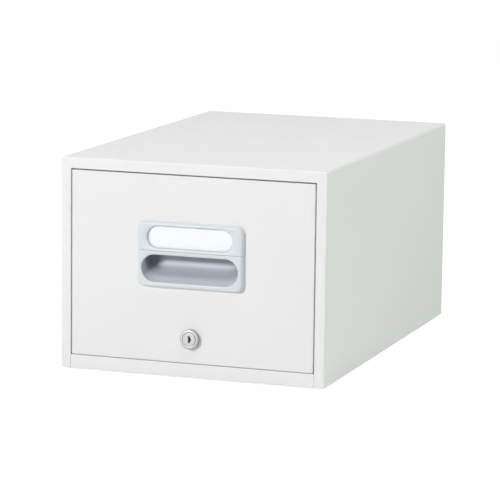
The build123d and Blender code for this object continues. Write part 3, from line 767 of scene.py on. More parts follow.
FINISHES: tuple[Finish, ...] = (
    # Satin white: broad soft highlights that break up a little over the peel
    WeldedCoat("powder_coat_case", Slot.CASE, "#ececec", roughness=0.46, shade="#e9e9e9"),
    PowderCoat("powder_coat_front", Slot.FRONT, "#ebebeb", roughness=0.44, shade="#e7e7e7"),
    # A thinner coat inside the drawer, flatter and a touch greyer
    PowderCoat("powder_coat_tub", Slot.TUB, "#e6e8e5", roughness=0.5, shade="#e2e4e1"),
    # Pale blue-grey plastic with an even, slightly waxy sheen
    MouldedAbs("moulded_abs_pull", Slot.PULL, "#dbe0e5", roughness=0.38, shade="#d7dce1"),
    # Sharp reflections and almost no body
    ClearSheet("clear_pvc_sheet", Slot.COVER, "#f8fbfd", roughness=0.06),
    # Matt and the whitest thing on the cabinet
    LabelPaper("uncoated_card", Slot.PAPER, "#fbfdff", roughness=0.9),
    # Grey metal with a soft gleam; the plug's face is warmer and flatter than the collar
    PlatedMetal("satin_chrome", Slot.COLLAR, "#c7c8c9", roughness=0.5, metallic=1.0, shade="#c0c1c2"),
    PlatedMetal("brushed_nickel", Slot.PLUG, "#cbccca", roughness=0.46, metallic=1.0, shade="#c2c2c0"),
    # Bluish, with drawing marks along the slides
    PlatedMetal("bright_zinc", Slot.ZINC, "#bcc1c6", roughness=0.32, metallic=1.0, shade="#acb2b8"),
    PlatedMetal("zinc_screw_steel", Slot.SCREW, "#bfc2c5", roughness=0.3, metallic=1.0, shade="#b0b3b6"),
    # Dull pressed steel around mirror-bright balls
    PlatedMetal("pressed_strip", Slot.CAGE, "#a3a5a8", roughness=0.42, metallic=1.0, shade="#97999c"),
    PlatedMetal("bearing_steel", Slot.BALL, "#c6c8ca", roughness=0.12, metallic=1.0, shade="#c0c2c4"),
    # Both swallow highlights; nylon stays milky
    MouldedRubber("black_rubber", Slot.RUBBER, "#242425", roughness=0.8),
    MouldedRubber("natural_nylon", Slot.NYLON, "#e3e1d6", roughness=0.5, shade="#dad8cc"),
)


@dataclass
class Wardrobe:
    """All finishes, made once and put on nodes and pieces by slot."""

    materials: dict[str, bpy.types.Material] = field(default_factory=dict)

    def __post_init__(self) -> None:
        """Makes every material."""
        for finish in FINISHES:
            self.materials[finish.slot.value] = finish.build()

    def dress_frame(self, frame: dict[str, Any]) -> None:
        """Gives every CAD node the material of its slot.
        """
        for part in frame["record"]["subparts"]:
            node = frame["nodes"][part["node"]]
            for place in node.material_slots:
                place.material = self.materials[part["material_slot"]]

    def dress(self, piece: bpy.types.Object, slot: Slot, body: Body, node: str) -> None:
        """Gives a piece its finish and its body, and hides the CAD node that it stands for.

        Args:
            piece: the piece.
            slot: the slot that its finish fills.
            body: the body that it rides on.
            node: the CAD node that it replaces.
        """
        piece.data.materials.append(self.materials[slot.value])
        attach(piece, body.value)
        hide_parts(node)
        log.info("%s: %d faces", piece.name, len(piece.data.polygons))


# Pieces


@dataclass(frozen=True)
class PullEdge:
    """The outer edge that the pull and its label frame share: a leaning flank and a round shoulder."""

    projection: float
    draft: float = 0.9
    shoulder: float = 3.2
    upright: float = 0.6
    seam_ease: float = 0.12
    corner: float = 8.0
    corner_follow: float = 0.75
    seam_corner: float = 0.3

    def outline(
        self, place: Place, depth: np.ndarray, seam_low: bool = False, seam_high: bool = False
    ) -> tuple[np.ndarray, ...]:
        """Works out the edge's outline at some depths.

        With d the distance from the drawer front, f the flank's and r the shoulder's radius, the inset is the
        draft times d / f up to the flank's end, and past it the draft plus r less the root of r squared less
        the square of d - f. Above and below, the inset is smaller by one factor, and by another one it takes
        from the corners' radius; a side on the seam keeps its place but for a slight ease.

        Args:
            place: the box that the outline fills where it meets the drawer front.
            depth: the depths, negative in front of the drawer front.
            seam_low: whether the lower side lies on the seam.
            seam_high: whether the upper side lies on the seam.

        Returns:
            Width, low, high, lower radius, upper radius and depth of each outline.
        """
        flank = self.projection - self.shoulder
        beyond = np.clip(-depth - flank, 0.0, self.shoulder)
        bend = self.shoulder - np.sqrt(self.shoulder**2 - beyond**2)
        inset = self.draft * np.clip(-depth / flank, 0.0, 1.0) + bend
        ease = self.seam_ease * np.sqrt(bend / self.shoulder)
        corner = self.corner - self.corner_follow * inset
        seam_corner = np.full_like(depth, self.seam_corner)
        return (
            place.size[0] - 2 * inset,
            place.low[2] + (ease if seam_low else self.upright * inset),
            place.high[2] - (ease if seam_high else self.upright * inset),
            seam_corner if seam_low else corner,
            seam_corner if seam_high else corner,
            depth,
        )

    def depths(self, start: float, end: float) -> np.ndarray:
        """Lists depths from start to end, with the shoulder's own steps between them.

        A step lies at the shoulder's start plus its radius times the sine of an angle.

        Args:
            start: the first depth.
            end: the last depth.

        Returns:
            The depths, from the back forwards.
        """
        steps = self.shoulder - self.projection - self.shoulder * np.sin(quarter(steps=12))
        between = steps[(steps < start - HAIR) & (steps > end + HAIR)]
        return np.concatenate([[start], between, [end]])


@dataclass
class Pull:
    """The moulded pull: the finger cup with its scooped floor, and the tray behind the label frame."""

    front: float
    outer: Place
    frame: Place
    cup_side: float = 6.05
    cup_above_bottom: float = 5.8
    cup_below_seam: float = 4.3
    seam_drop: float = 0.15
    lip: float = 6.0
    depth: float = 17.0
    wall: float = 1.8
    undercut: float = 9.0
    scoop_rise: float = 27.0
    roof_round: float = 6.0
    end_round: float = 9.0
    mouth_round: float = 1.2
    lip_roll: float = 3.7
    # Depths where the cup's painted shade starts and is full, and the size and place of the darker painted
    # shade in its ends
    cup_shade_start: float = 2.0
    cup_shade_end: float = 9.5
    end_shade_height: float = 9.0
    end_shade_start: float = 4.5
    end_shade_end: float = 15.0
    end_shade_length: float = 22.5
    end_shade_right: float = 0.3
    label_play: float = 0.5
    pocket_corner: float = 1.4
    cup_steps: int = 30
    lip_steps: int = 5
    outline: Rounded = Rounded(corner_steps=16, long_steps=40, short_steps=10)

    @property
    def projection(self) -> float:
        """How far the pull stands out from the drawer front."""
        return self.front - self.outer.low[1]

    @property
    def seam(self) -> float:
        """Height of the line between the label frame and the grip."""
        return self.frame.low[2] - self.seam_drop

    def build(self) -> bpy.types.Object:
        """Makes the grip and the label tray as two closed shells of one piece, and marks the cup's painted
        shade.

        Inside the cup the attribute "grip" is painted shade: a smooth step of the depth between the start and
        the end of that shade. A second attribute, a darker painted shade, is a product of three smooth steps:
        towards the ends, with the depth, and with the height from half the shade's height to one and a half
        of it. The right end has only a share of that, as the photograph shows it.

        Returns:
            The piece.
        """
        piece = make_piece("pull_moulding", [self._grip(), self._tray()])
        x, y, z = corners_of(piece).T
        depth = y - self.front
        width, low, _ = self._mouth()
        inside = self._in_cup(x, depth, z) & (depth < self.depth + self.wall / 2)
        cup_shaded = smooth((depth - self.cup_shade_start) / (self.cup_shade_end - self.cup_shade_start))
        end = smooth((np.abs(x) - width / 2 + self.end_shade_length) / (self.end_shade_length - self.end_round))
        raised = smooth((z - low) / self.end_shade_height - 0.5)
        deep = smooth((depth - self.end_shade_start) / (self.end_shade_end - self.end_shade_start))
        share = np.where(x > 0, self.end_shade_right, 1.0)
        # Painted shade inside the cup and, darker, towards its ends
        mark(piece, "grip", np.where(inside, cup_shaded, 0.0))
        mark(piece, "end_shade", np.where(inside, end * raised * deep * share, 0.0))
        return piece

    def dress(self, wardrobe: Wardrobe) -> None:
        """Builds the pull and puts its finish on."""
        wardrobe.dress(self.build(), Slot.PULL, Body.DRAWER, "handle_base")

    def _in_cup(self, x: np.ndarray, depth: np.ndarray, z: np.ndarray) -> np.ndarray:
        """Finds which points lie in the cup: within its mouth's round-ended outline, or behind its lip.

        Args:
            x: distance from the middle plane.
            depth: depth behind the drawer front.
            z: height.

        Returns:
            True for each point in the cup.
        """
        width, low, high = self._mouth()
        radius = (high - low) / 2
        along = np.clip(np.abs(x) - (width / 2 - radius), 0.0, None)
        slot = np.hypot(along, z - (low + high) / 2) < radius + self.lip_roll + HAIR
        behind = (depth > self.lip - self.projection - HAIR) & (z < high + self.undercut + HAIR) & (z > low)
        return slot | (behind & (np.abs(x) < width / 2 + HAIR))

    def _grip(self) -> np.ndarray:
        """The lower half: behind the cup, out over the back, round the edge, across the front, into the cup.

        The cup's outside is the same shape as its inside, one wall thicker. Its mouth is eased by a quarter
        circle below and by a taller quarter ellipse above.

        Returns:
            The rings of one closed shell.
        """
        high, p = self.seam, self.projection
        rows: list[tuple[np.ndarray, ...]] = []

        def add(*columns: Any) -> None:
            """Adds rings from columns of width, low, high, lower radius, upper radius and depth."""
            arrays = [np.atleast_1d(np.asarray(column, float)) for column in columns]
            rows.append(np.stack(np.broadcast_arrays(*arrays)))

        add(*self._cup(self.wall, 0.0))
        edge = PullEdge(p)
        grip = Place(self.outer.low, np.array([*self.outer.high[:2], high]))
        add(*edge.outline(grip, edge.depths(0.0, -p), seam_high=True))
        inward = quarter(steps=10)
        width, low, upper = self._mouth()
        grow, roll = self.mouth_round * (1 - np.sin(inward)), self.lip_roll * (1 - np.sin(inward))
        radius = (upper + roll - low + grow) / 2 - HAIR
        sunk = self.mouth_round * (1 - np.cos(inward))
        add(width + 2 * grow, low - grow, upper + roll, radius, radius, sunk - p)
        inner = self._cup(0.0, self.mouth_round - p)
        add(*[column[::-1] for column in inner])
        table = np.concatenate(rows, axis=1)
        return stand(self.outline.ring(*table[:5]), table[5], self.front)

    def _mouth(self) -> tuple[float, float, float]:
        """Measures the cup's mouth.

        Returns:
            Its width, lower edge and upper edge.
        """
        return (
            self.outer.size[0] - 2 * self.cup_side,
            self.outer.low[2] + self.cup_above_bottom,
            self.seam - self.cup_below_seam,
        )

    def _cup(self, grow: float, start: float) -> tuple[np.ndarray, ...]:
        """Rings of the cup from its back line forwards to a depth.

        The floor is a circle of radius r that turns upright at the back: its height is the turn's height less
        the root of r squared less the square of the distance from the circle's middle. The roof bends down to
        the back, and the ends bend in, along quarter circles of their own radii.

        Args:
            grow: how far outside the cup's own surface the rings lie.
            start: depth of the foremost ring.

        Returns:
            Width, low, high, lower radius, upper radius and depth of each ring.
        """
        width, low, high = self._mouth()
        first = self.mouth_round - self.projection
        run = self.depth - first
        scoop = (run**2 + self.scoop_rise**2) / (2 * run)
        centre, turn = self.depth - scoop, low + self.scoop_rise
        back = self.depth + grow
        lip_back = self.lip - self.projection
        depth = np.concatenate([
            back - (back - max(start, lip_back)) * (1 - np.cos(quarter(self.cup_steps))),
            np.linspace(lip_back, start, self.lip_steps) if start < lip_back else [],
        ])
        floor = turn - np.sqrt(np.clip((scoop + grow) ** 2 - (depth - centre) ** 2, 0.0, None))
        behind = np.arange(len(depth)) < self.cup_steps
        roof = high + grow + np.where(behind, self.undercut, 0.0)
        roof -= self._bend(depth, back, self.roof_round + grow)
        ends = width + 2 * grow - 2 * self._bend(depth, back, self.end_round + grow)
        radius = np.minimum((high - low) / 2 + grow - HAIR, (roof - floor) / 2)
        table = np.stack([ends, floor, roof, radius, radius, depth])
        spine = table[:, :1].copy()
        middle = (spine[1] + spine[2]) / 2
        spine[0] -= spine[2] - spine[1]
        spine[1:5] = np.stack([middle, middle, 0 * middle, 0 * middle])
        return tuple(np.concatenate([spine, table], axis=1))

    @staticmethod
    def _bend(depth: np.ndarray, back: float, radius: float) -> np.ndarray:
        """How far a quarter circle of a radius has turned in at a depth; it ends at the back."""
        inside = np.clip(depth - (back - radius), 0.0, radius)
        return radius - np.sqrt(radius**2 - inside**2)

    def _tray(self) -> np.ndarray:
        """The upper half behind the frame: a plate with the shallow pocket that the label lies in.

        Returns:
            The rings of one closed shell.
        """
        width, low, high = self.outer.size[0], self.seam, self.outer.high[2]
        middle = (low + high) / 2
        face = self.frame.high[1] - self.front
        edge = PullEdge(self.projection)
        tray = Place(np.array([*self.outer.low[:2], low]), self.outer.high)
        cover, card = Place.of_node("label_cover"), Place.of_node("label_card")
        floor = card.high[1] - self.front
        play = self.label_play
        pocket = (cover.size[0] + 2 * play, cover.low[2] - play, cover.high[2] + play)
        table = np.array([
            (width - (high - low), middle, middle, 0.0, 0.0, 0.0),
            *np.array(edge.outline(tray, edge.depths(0.0, face), seam_low=True)).T,
            (*pocket, self.pocket_corner, self.pocket_corner, face),
            (*pocket, self.pocket_corner, self.pocket_corner, floor),
            (pocket[0] - (pocket[2] - pocket[1]), middle, middle, 0.0, 0.0, floor),
        ]).T
        return stand(self.outline.ring(*table[:5]), table[5], self.front)


@dataclass
class LabelFrame:
    """The snap-on frame around the label's window: rounded outside, bevelled towards the window."""

    front: float
    place: Place
    side: float = 12.8
    above_low: float = 3.2
    below_top: float = 4.65
    bevel: float = 1.6
    bevel_power: float = 1.35
    bevel_steps: int = 7
    bevel_painted_shade: float = 0.6
    outline: Rounded = Rounded(corner_steps=18, long_steps=44, short_steps=10)

    def build(self) -> bpy.types.Object:
        """Carries a closed section around the window: back, outside, rounded edge, face, bevel, inner wall.

        Along the bevel the sunk depth is its width times a share raised to the bevel's power, and the outline
        shrinks evenly with the share. The attribute "grip" is painted shade: a part of a smooth step of that
        depth, which makes the bevel a little darker than the face.

        Returns:
            The piece.
        """
        width, low, high = self.place.size[0], self.place.low[2], self.place.high[2]
        p = self.front - self.place.low[1]
        back = self.place.high[1] - self.front
        window = (width - 2 * self.side, low + self.above_low, high - self.below_top)
        inner_round = (window[2] - window[1]) / 2 - HAIR
        edge = PullEdge(p)
        rows = [
            (*window, inner_round, inner_round, back),
            *np.array(edge.outline(self.place, edge.depths(back, -p), seam_low=True)).T,
        ]
        for share in np.linspace(0.0, 1.0, self.bevel_steps):
            grow = self.bevel * (1 - share)
            dip = self.bevel * share**self.bevel_power
            rows.append((
                window[0] + 2 * grow, window[1] - grow, window[2] + grow,
                inner_round + grow, inner_round + grow, -p + dip,
            ))
        table = np.array(rows).T
        rings = stand(self.outline.ring(*table[:5]), table[5], self.front)
        piece = make_piece("label_bezel", [rings], loop=True)
        # Painted shade on the bevel around the window
        x, y, z = corners_of(piece).T
        reach = self.bevel + 2 * HAIR
        around = (np.abs(x) < window[0] / 2 + reach) & (z > window[1] - reach) & (z < window[2] + reach)
        shade = self.bevel_painted_shade * smooth((y - self.place.low[1]) / self.bevel)
        mark(piece, "grip", np.where(around, shade, 0.0))
        return piece

    def dress(self, wardrobe: Wardrobe) -> None:
        """Builds the frame and puts its finish on."""
        wardrobe.dress(self.build(), Slot.PULL, Body.DRAWER, "label_frame")


@dataclass
class LabelSheet:
    """The clear sheet over the card, with its die-cut round corners and its rim eased on both sides."""

    place: Place
    air: float = 0.08
    ease: float = 0.08
    corner: float = 1.4
    outline: Rounded = Rounded(corner_steps=6, long_steps=24, short_steps=6)

    def build(self) -> bpy.types.Object:
        """Lofts the sheet from a line in its front face, round its rim, to a line in its back face.

        Returns:
            The piece.
        """
        width, low, high = self.place.size[0], self.place.low[2], self.place.high[2]
        front, back = self.place.low[1], self.place.high[1] - self.air
        middle, spine = (low + high) / 2, width - (high - low)
        e, r = self.ease, self.corner
        table = np.array([
            (spine, middle, middle, 0.0, 0.0, front),
            (width - 2 * e, low + e, high - e, r, r, front),
            (width, low, high, r, r, front + e),
            (width, low, high, r, r, back - e),
            (width - 2 * e, low + e, high - e, r, r, back),
            (spine, middle, middle, 0.0, 0.0, back),
        ]).T
        return make_piece("label_sheet", [stand(self.outline.ring(*table[:5]), table[5], 0.0)])

    def dress(self, wardrobe: Wardrobe) -> None:
        """Builds the sheet and puts its finish on."""
        wardrobe.dress(self.build(), Slot.COVER, Body.DRAWER, "label_cover")


@dataclass
class LockCollar:
    """The lock's fixed body: a turned collar in front, a threaded barrel with two flats behind."""

    front: float
    place: Place
    face_round: float = 1.5
    flank_ring: float = 0.6
    bore: float = 6.38
    seat: float = 7.46
    seat_depth: float = 1.1
    seat_rim: float = 0.9
    seat_ease: float = 0.3
    barrel: float = 9.0
    thread_pitch: float = 1.0
    thread_depth: float = 0.45
    thread_end: float = 0.4
    flats: float = 15.8
    flats_start: float = 0.2
    flank_painted_shade: float = 0.6

    def build(self) -> bpy.types.Object:
        """Turns the section about the lock's axis, presses the barrel's sides flat and paints shade on the
        flank.

        The thread's profile goes up and down between two radii, half a pitch each. One more ring on the
        flank, just short of the round to the face, keeps the flank's shading flat. A painted shade darkens
        the flank at its full share and fades out over that round.

        Returns:
            The piece.
        """
        middle = np.array([self.place.middle[0], self.front, self.place.middle[2]])
        collar = self.place.size[0] / 2
        out = self.front - self.place.low[1]
        end = self.place.high[1] - self.front
        arc = quarter(steps=8)
        crest = np.arange(self.thread_end, end - self.thread_end, self.thread_pitch)
        thread = np.stack([
            np.stack([np.full(len(crest), self.barrel - self.thread_depth), -crest], -1),
            np.stack([np.full(len(crest), self.barrel), -crest - self.thread_pitch / 2], -1),
        ], axis=1).reshape(-1, 2)
        profile = np.concatenate([
            [(self.bore, -end), (self.barrel - self.thread_depth, -end)],
            thread[::-1][1:],
            [(self.barrel, 0.0), (collar, 0.0), (collar, out - self.face_round - self.flank_ring)],
            np.stack([
                collar - self.face_round * (1 - np.cos(arc)),
                out - self.face_round + self.face_round * np.sin(arc),
            ], -1),
            [(self.seat + self.seat_rim, out), (self.seat + self.seat_ease, out - self.seat_ease)],
            [(self.seat, out - self.seat_depth), (self.bore, out - self.seat_depth)],
        ])
        rings = turned(profile, middle, Way.FRONT, steps=96)
        behind = rings[..., 1] > self.front + self.flats_start
        flat = np.clip(rings[..., 0], -self.flats / 2, self.flats / 2)
        rings[..., 0] = np.where(behind, flat, rings[..., 0])
        piece = make_piece("lock_collar", [rings], loop=True, crease_deg=20.0)
        x, y, z = (corners_of(piece) - middle).T
        # Painted shade on the collar's flank, fading over the round to the face
        fade = smooth(1 - (collar - np.hypot(x, z)) / self.face_round)
        mark(piece, "painted_shade", np.where(y < 0.0, self.flank_painted_shade * fade, 0.0))
        return piece

    def dress(self, wardrobe: Wardrobe) -> None:
        """Builds the collar and puts its finish on."""
        wardrobe.dress(self.build(), Slot.COLLAR, Body.DRAWER, "lock_housing")


@dataclass
class LockCore:
    """The turning plug: a face with a keyway, a round shank and a square tail."""

    place: Place
    head: float = 14.6
    head_length: float = 1.3
    shank: float = 12.6
    tail: float = 6.0
    tail_length: float = 1.8
    tail_corner: float = 0.4
    face_round: float = 0.35
    dish: float = 11.0
    dish_depth: float = 0.18
    key_width: float = 2.2
    key_height: float = 8.0
    key_round: float = 0.8
    key_ease: float = 0.25
    belly: float = 1.4
    belly_height: float = 2.1
    key_depth: float = 9.0
    wafer_depth: float = 1.3
    wafer_slot: tuple[float, float] = (0.9, 6.6)
    wafer_corner: float = 0.3
    unshaded_wall: float = 1.0
    outline: Rounded = Rounded(corner_steps=14, long_steps=4, short_steps=20)

    def build(self) -> bpy.types.Object:
        """Lofts from the tail forwards over the shank and the face, and back into the keyway.

        The keyway is a round-ended slot whose right side swells by a bell curve of its height; a little way
        in, the first wafer's edge leaves a narrower slot. Inside the keyway the metal is darkened as painted
        shade: behind the dish and further than a wall's thickness from the shank's surface.

        Returns:
            The piece.
        """
        centre = self.place.middle[2]
        front, back = self.place.low[1], self.place.high[1]
        rise = self.face_round

        def row(width: float, height: float, radius: float, depth: float) -> tuple[float, ...]:
            """Gives one outline about the lock's axis."""
            return width, centre - height / 2, centre + height / 2, radius, radius, depth

        def disc(size: float, depth: float) -> tuple[float, ...]:
            """Gives one circle about the lock's axis, whose straight runs are next to nothing."""
            return row(size, size, size / 2 - SHORTEST_EDGE, depth)

        body = [
            row(0.0, 0.0, 0.0, back),
            row(self.tail, self.tail, self.tail_corner, back),
            row(self.tail, self.tail, self.tail_corner, back - self.tail_length),
            disc(self.shank, back - self.tail_length),
            disc(self.shank, front + self.head_length),
            disc(self.head, front + self.head_length),
            disc(self.head, front + rise),
            *[
                disc(self.head - 2 * rise * (1 - math.cos(turn)), front + rise * (1 - math.sin(turn)))
                for turn in quarter(steps=8)
            ],
            disc(self.dish + 2 * self.dish_depth, front),
            disc(self.dish, front + self.dish_depth),
        ]
        dish, ease = front + self.dish_depth, self.key_ease
        slot = [
            row(self.key_width + 2 * ease, self.key_height + 2 * ease, self.key_round + ease, dish),
            row(self.key_width, self.key_height, self.key_round, dish + ease),
            row(self.key_width, self.key_height, self.key_round, front + self.wafer_depth),
            row(*self.wafer_slot, self.wafer_corner, front + self.wafer_depth),
            row(*self.wafer_slot, self.wafer_corner, front + self.key_depth),
            row(0.0, self.wafer_slot[1] - self.wafer_slot[0], 0.0, front + self.key_depth),
        ]
        table = np.array(body + slot).T
        rings = stand(self.outline.ring(*table[:5]), table[5], 0.0)
        x, z = rings[..., 0], rings[..., 2] - centre
        bell = self.belly * np.exp(-((z / self.belly_height) ** 2))
        in_slot = (np.arange(len(rings)) >= len(body))[:, None]
        rings[..., 0] = np.where(in_slot & (x > 0), x + bell, x)
        rings[..., 0] += self.place.middle[0]
        piece = make_piece("lock_core", [rings], crease_deg=20.0)
        x, y, z = (corners_of(piece) - [self.place.middle[0], front, centre]).T
        # Painted shade inside the keyway
        sunk = (y > self.dish_depth + ease / 2) & (y < self.key_depth + ease)
        sunk &= np.hypot(x, z) < self.shank / 2 - self.unshaded_wall
        mark(piece, "painted_shade", np.where(sunk, 1.0, 0.0))
        return piece

    def dress(self, wardrobe: Wardrobe) -> None:
        """Builds the plug and puts its finish on."""
        wardrobe.dress(self.build(), Slot.PLUG, Body.LOCK, "lock_plug")


@dataclass
class CrossHeadScrews:
    """A group of screws with a domed head and a cross recess, or a flat countersunk head."""

    node: str
    body: Body
    solids: list[Place]
    ways: list[Way]
    head: float = 7.4
    head_height: float = 2.2
    dome_width: float = 1.4
    dome_height: float = 1.5
    shank: float = 4.0
    point: float = 0.6
    point_length: float = 0.8
    arm: float = 4.2
    arm_width: float = 1.1
    recess: float = 1.7
    # Share of the recess's outline and of its depth, from the rim inwards
    recess_shape: tuple[tuple[float, float], ...] = ((1.0, 0.0), (0.8, 0.55), (0.45, 1.0), (0.0, 1.0))
    sunk: bool = False
    steps: int = 64

    def build(self) -> bpy.types.Object:
        """Makes each screw as one shell of a single piece."""
        shells = [self._screw(solid, way) for solid, way in zip(self.solids, self.ways)]
        return make_piece(f"{self.node}_cross_head", shells, crease_deg=30.0)

    def dress(self, wardrobe: Wardrobe) -> None:
        """Builds the screws and puts their finish on."""
        wardrobe.dress(self.build(), Slot.SCREW, self.body, self.node)

    def _screw(self, solid: Place, way: Way) -> np.ndarray:
        """Works out one screw, from the tip over the shank and the head into the recess.

        The point is a share of the shank's radius. Around the recess the outline is a plus sign: at an angle
        it lies at the nearer of an arm's end, half its length over the larger of cosine and sine, and an
        arm's side, half its width over the smaller.

        Args:
            solid: the box that the screw fills.
            way: the way that its head faces.

        Returns:
            The rings of one closed shell.
        """
        axis = np.array(way.value)
        along = int(np.argmax(np.abs(axis)))
        top = solid.high[along] if axis[along] > 0 else solid.low[along]
        middle = solid.middle.copy()
        middle[along] = top
        length = solid.size[along]
        radius, shank = self.head / 2, self.shank / 2
        seat = -self.head_height
        if self.sunk:
            head = np.array([(shank, seat), (radius, 0.0)])
        else:
            dome = quarter(steps=6)
            rim = np.stack([
                radius - self.dome_width * (1 - np.cos(dome)), self.dome_height * (np.sin(dome) - 1)
            ], -1)
            head = np.concatenate([[(shank, seat), (radius, seat)], rim])
        tip = [(0.0, -length), (shank * self.point, -length), (shank, -length + self.point_length)]
        outer = turned(np.concatenate([tip, head]), middle, way, self.steps)
        around = np.linspace(0.0, 2 * math.pi, self.steps, endpoint=False)
        share = np.abs([np.cos(around), np.sin(around)])
        side = self.arm_width / 2 / np.maximum(share.min(0), 1e-3)
        plus = np.minimum(self.arm / 2 / share.max(0), side)
        unit = turned(np.array([(1.0, 0.0)]), np.zeros(3), way, self.steps)[0]
        rings = [
            middle + unit * (plus * scale)[:, None] - axis * (self.recess * depth)
            for scale, depth in self.recess_shape
        ]
        return np.concatenate([outer, np.array(rings)])


@dataclass
class Foot:
    """A moulded rubber foot with a rounded tread, two shallow grooves and a sunk screw hole."""

    corner: str
    place: Place
    hole: float = 2.1
    counterbore: float = 4.3
    counterbore_depth: float = 1.7
    hole_ease: float = 0.2
    tread: float = 0.9
    top_ease: float = 0.4
    groove_starts: tuple[float, float] = (5.6, 7.2)
    # Distance across and into the tread, from the groove's start
    groove_shape: tuple[tuple[float, float], ...] = ((0.0, 0.0), (0.2, 0.25), (0.5, 0.25), (0.7, 0.0))

    def build(self) -> bpy.types.Object:
        """Turns the foot's section about its middle; the section runs round the solid and back to its start.

        The tread's rim is a quarter circle: in by its radius times one less a sine, up by its radius times
        one less a cosine.

        Returns:
            The piece.
        """
        radius, height = self.place.size[0] / 2, self.place.size[2]
        middle = self.place.middle.copy()
        middle[2] = self.place.low[2]
        arc = quarter(steps=6)
        profile = np.concatenate([
            [(self.hole, self.counterbore_depth), (self.counterbore, self.counterbore_depth)],
            [(self.counterbore, self.hole_ease), (self.counterbore + self.hole_ease, 0.0)],
            *[np.array(self.groove_shape) + (start, 0.0) for start in self.groove_starts],
            np.stack([radius - self.tread * (1 - np.sin(arc)), self.tread * (1 - np.cos(arc))], -1),
            [(radius - self.top_ease, height), (self.hole, height)],
        ])
        rings = turned(profile, middle, Way.UP, steps=72)
        return make_piece(f"rubber_foot_{self.corner}", [rings], loop=True, crease_deg=28.0)

    def dress(self, wardrobe: Wardrobe) -> None:
        """Builds the foot and puts its finish on."""
        wardrobe.dress(self.build(), Slot.RUBBER, Body.CABINET, f"foot_{self.corner}")


@dataclass
class Bumpers:
    """Two domed rubber buffers on the back panel."""

    solids: list[Place]
    dome: float = 2.2
    flange: float = 1.2
    waist_in: float = 0.9
    waist_start: float = 2.0
    waist_end: float = 3.2

    def build(self) -> bpy.types.Object:
        """Turns each buffer's section: a waisted stem and a low dome towards the drawer.

        The dome is a quarter of an ellipse that is the buffer's radius wide.

        Returns:
            Both buffers as one piece.
        """
        shells = []
        for solid in self.solids:
            radius, length = solid.size[0] / 2, solid.size[1]
            middle = solid.middle.copy()
            middle[1] = solid.high[1]
            arc = quarter(steps=10)
            waist = radius - self.waist_in
            profile = np.concatenate([
                [(0.0, 0.0), (radius, 0.0), (radius, self.flange)],
                [(waist, self.waist_start), (waist, length - self.waist_end)],
                np.stack([radius * np.cos(arc), length - self.dome + self.dome * np.sin(arc)], -1),
            ])
            shells.append(turned(profile, middle, Way.FRONT, steps=48))
        return make_piece("rear_buffers", shells)

    def dress(self, wardrobe: Wardrobe) -> None:
        """Builds the buffers and puts their finish on."""
        wardrobe.dress(self.build(), Slot.RUBBER, Body.CABINET, "rear_bumpers")


# Studio


def hang(name: str, data: bpy.types.ID, axes: Sequence[np.ndarray], place: np.ndarray) -> bpy.types.Object:
    """Puts a camera or a lamp into the scene.

    Args:
        name: the object's name.
        data: the camera or the lamp.
        axes: the directions to its right, above it and behind it.
        place: where it hangs, in millimetres.

    Returns:
        The object.
    """
    hung = bpy.data.objects.new(name, data)
    matrix = np.identity(4)
    matrix[:3, :3] = np.stack(axes, axis=1)
    matrix[:3, 3] = place * MM
    hung.matrix_world = Matrix(matrix)
    bpy.context.scene.collection.objects.link(hung)
    return hung


@dataclass(frozen=True)
class PhotoCamera:
    """The photograph's viewpoint, found from the case's corners and the middles of the pull and the lock."""

    image_px: float = 500.0
    focal_px: float = 2888.9
    pitch_deg: float = 9.475
    yaw_deg: float = -19.179
    roll_deg: float = 0.69
    right_mm: float = -65.75
    ahead_mm: float = 3185.7
    up_mm: float = -140.94
    sensor_mm: float = 36.0
    nearest_m: float = 0.05
    farthest_m: float = 60.0

    def build(self, base: np.ndarray) -> None:
        """Sets the camera up.

        The case is turned by yaw about Z, then by pitch about X, then by roll about Y, and moved by the three
        distances, in a frame where the camera looks along Y. The camera's own place undoes that.

        Args:
            base: the middle of the case's lower front edge, which the distances are measured to.
        """
        yaw, pitch, roll = (math.radians(v) for v in (self.yaw_deg, self.pitch_deg, self.roll_deg))
        turn = np.array(
            Matrix.Rotation(roll, 3, "Y") @ Matrix.Rotation(pitch, 3, "X") @ Matrix.Rotation(yaw, 3, "Z")
        )
        place = base - turn.T @ np.array([self.right_mm, self.ahead_mm, self.up_mm])
        data = bpy.data.cameras.new("camera")
        data.sensor_fit = "HORIZONTAL"
        data.sensor_width = self.sensor_mm
        data.lens = self.focal_px * self.sensor_mm / self.image_px
        data.clip_start = self.nearest_m
        data.clip_end = self.farthest_m
        bpy.context.scene.camera = hang("camera", data, (turn[0], turn[2], -turn[1]), place)


@dataclass(frozen=True)
class Softbox:
    """A square lamp that looks at the cabinet."""

    name: str
    azimuth_deg: float
    elevation_deg: float
    distance_mm: float
    side_mm: float
    watts: float
    colour: str = "#ffffff"

    def build(self, target: np.ndarray) -> None:
        """Hangs the lamp; azimuth 0 is straight in front of the drawer and positive to its right.

        Args:
            target: the place that the lamp looks at, in millimetres.
        """
        azimuth, elevation = math.radians(self.azimuth_deg), math.radians(self.elevation_deg)
        level = math.cos(elevation)
        away = np.array([math.sin(azimuth) * level, -math.cos(azimuth) * level, math.sin(elevation)])
        side = np.cross([0.0, 0.0, 1.0], away)
        side /= np.linalg.norm(side)
        data = bpy.data.lights.new(self.name, "AREA")
        data.size = self.side_mm * MM
        data.energy = self.watts
        data.color = linear(self.colour)[:3]
        hang(self.name, data, (side, np.cross(away, side), away), target + away * self.distance_mm)


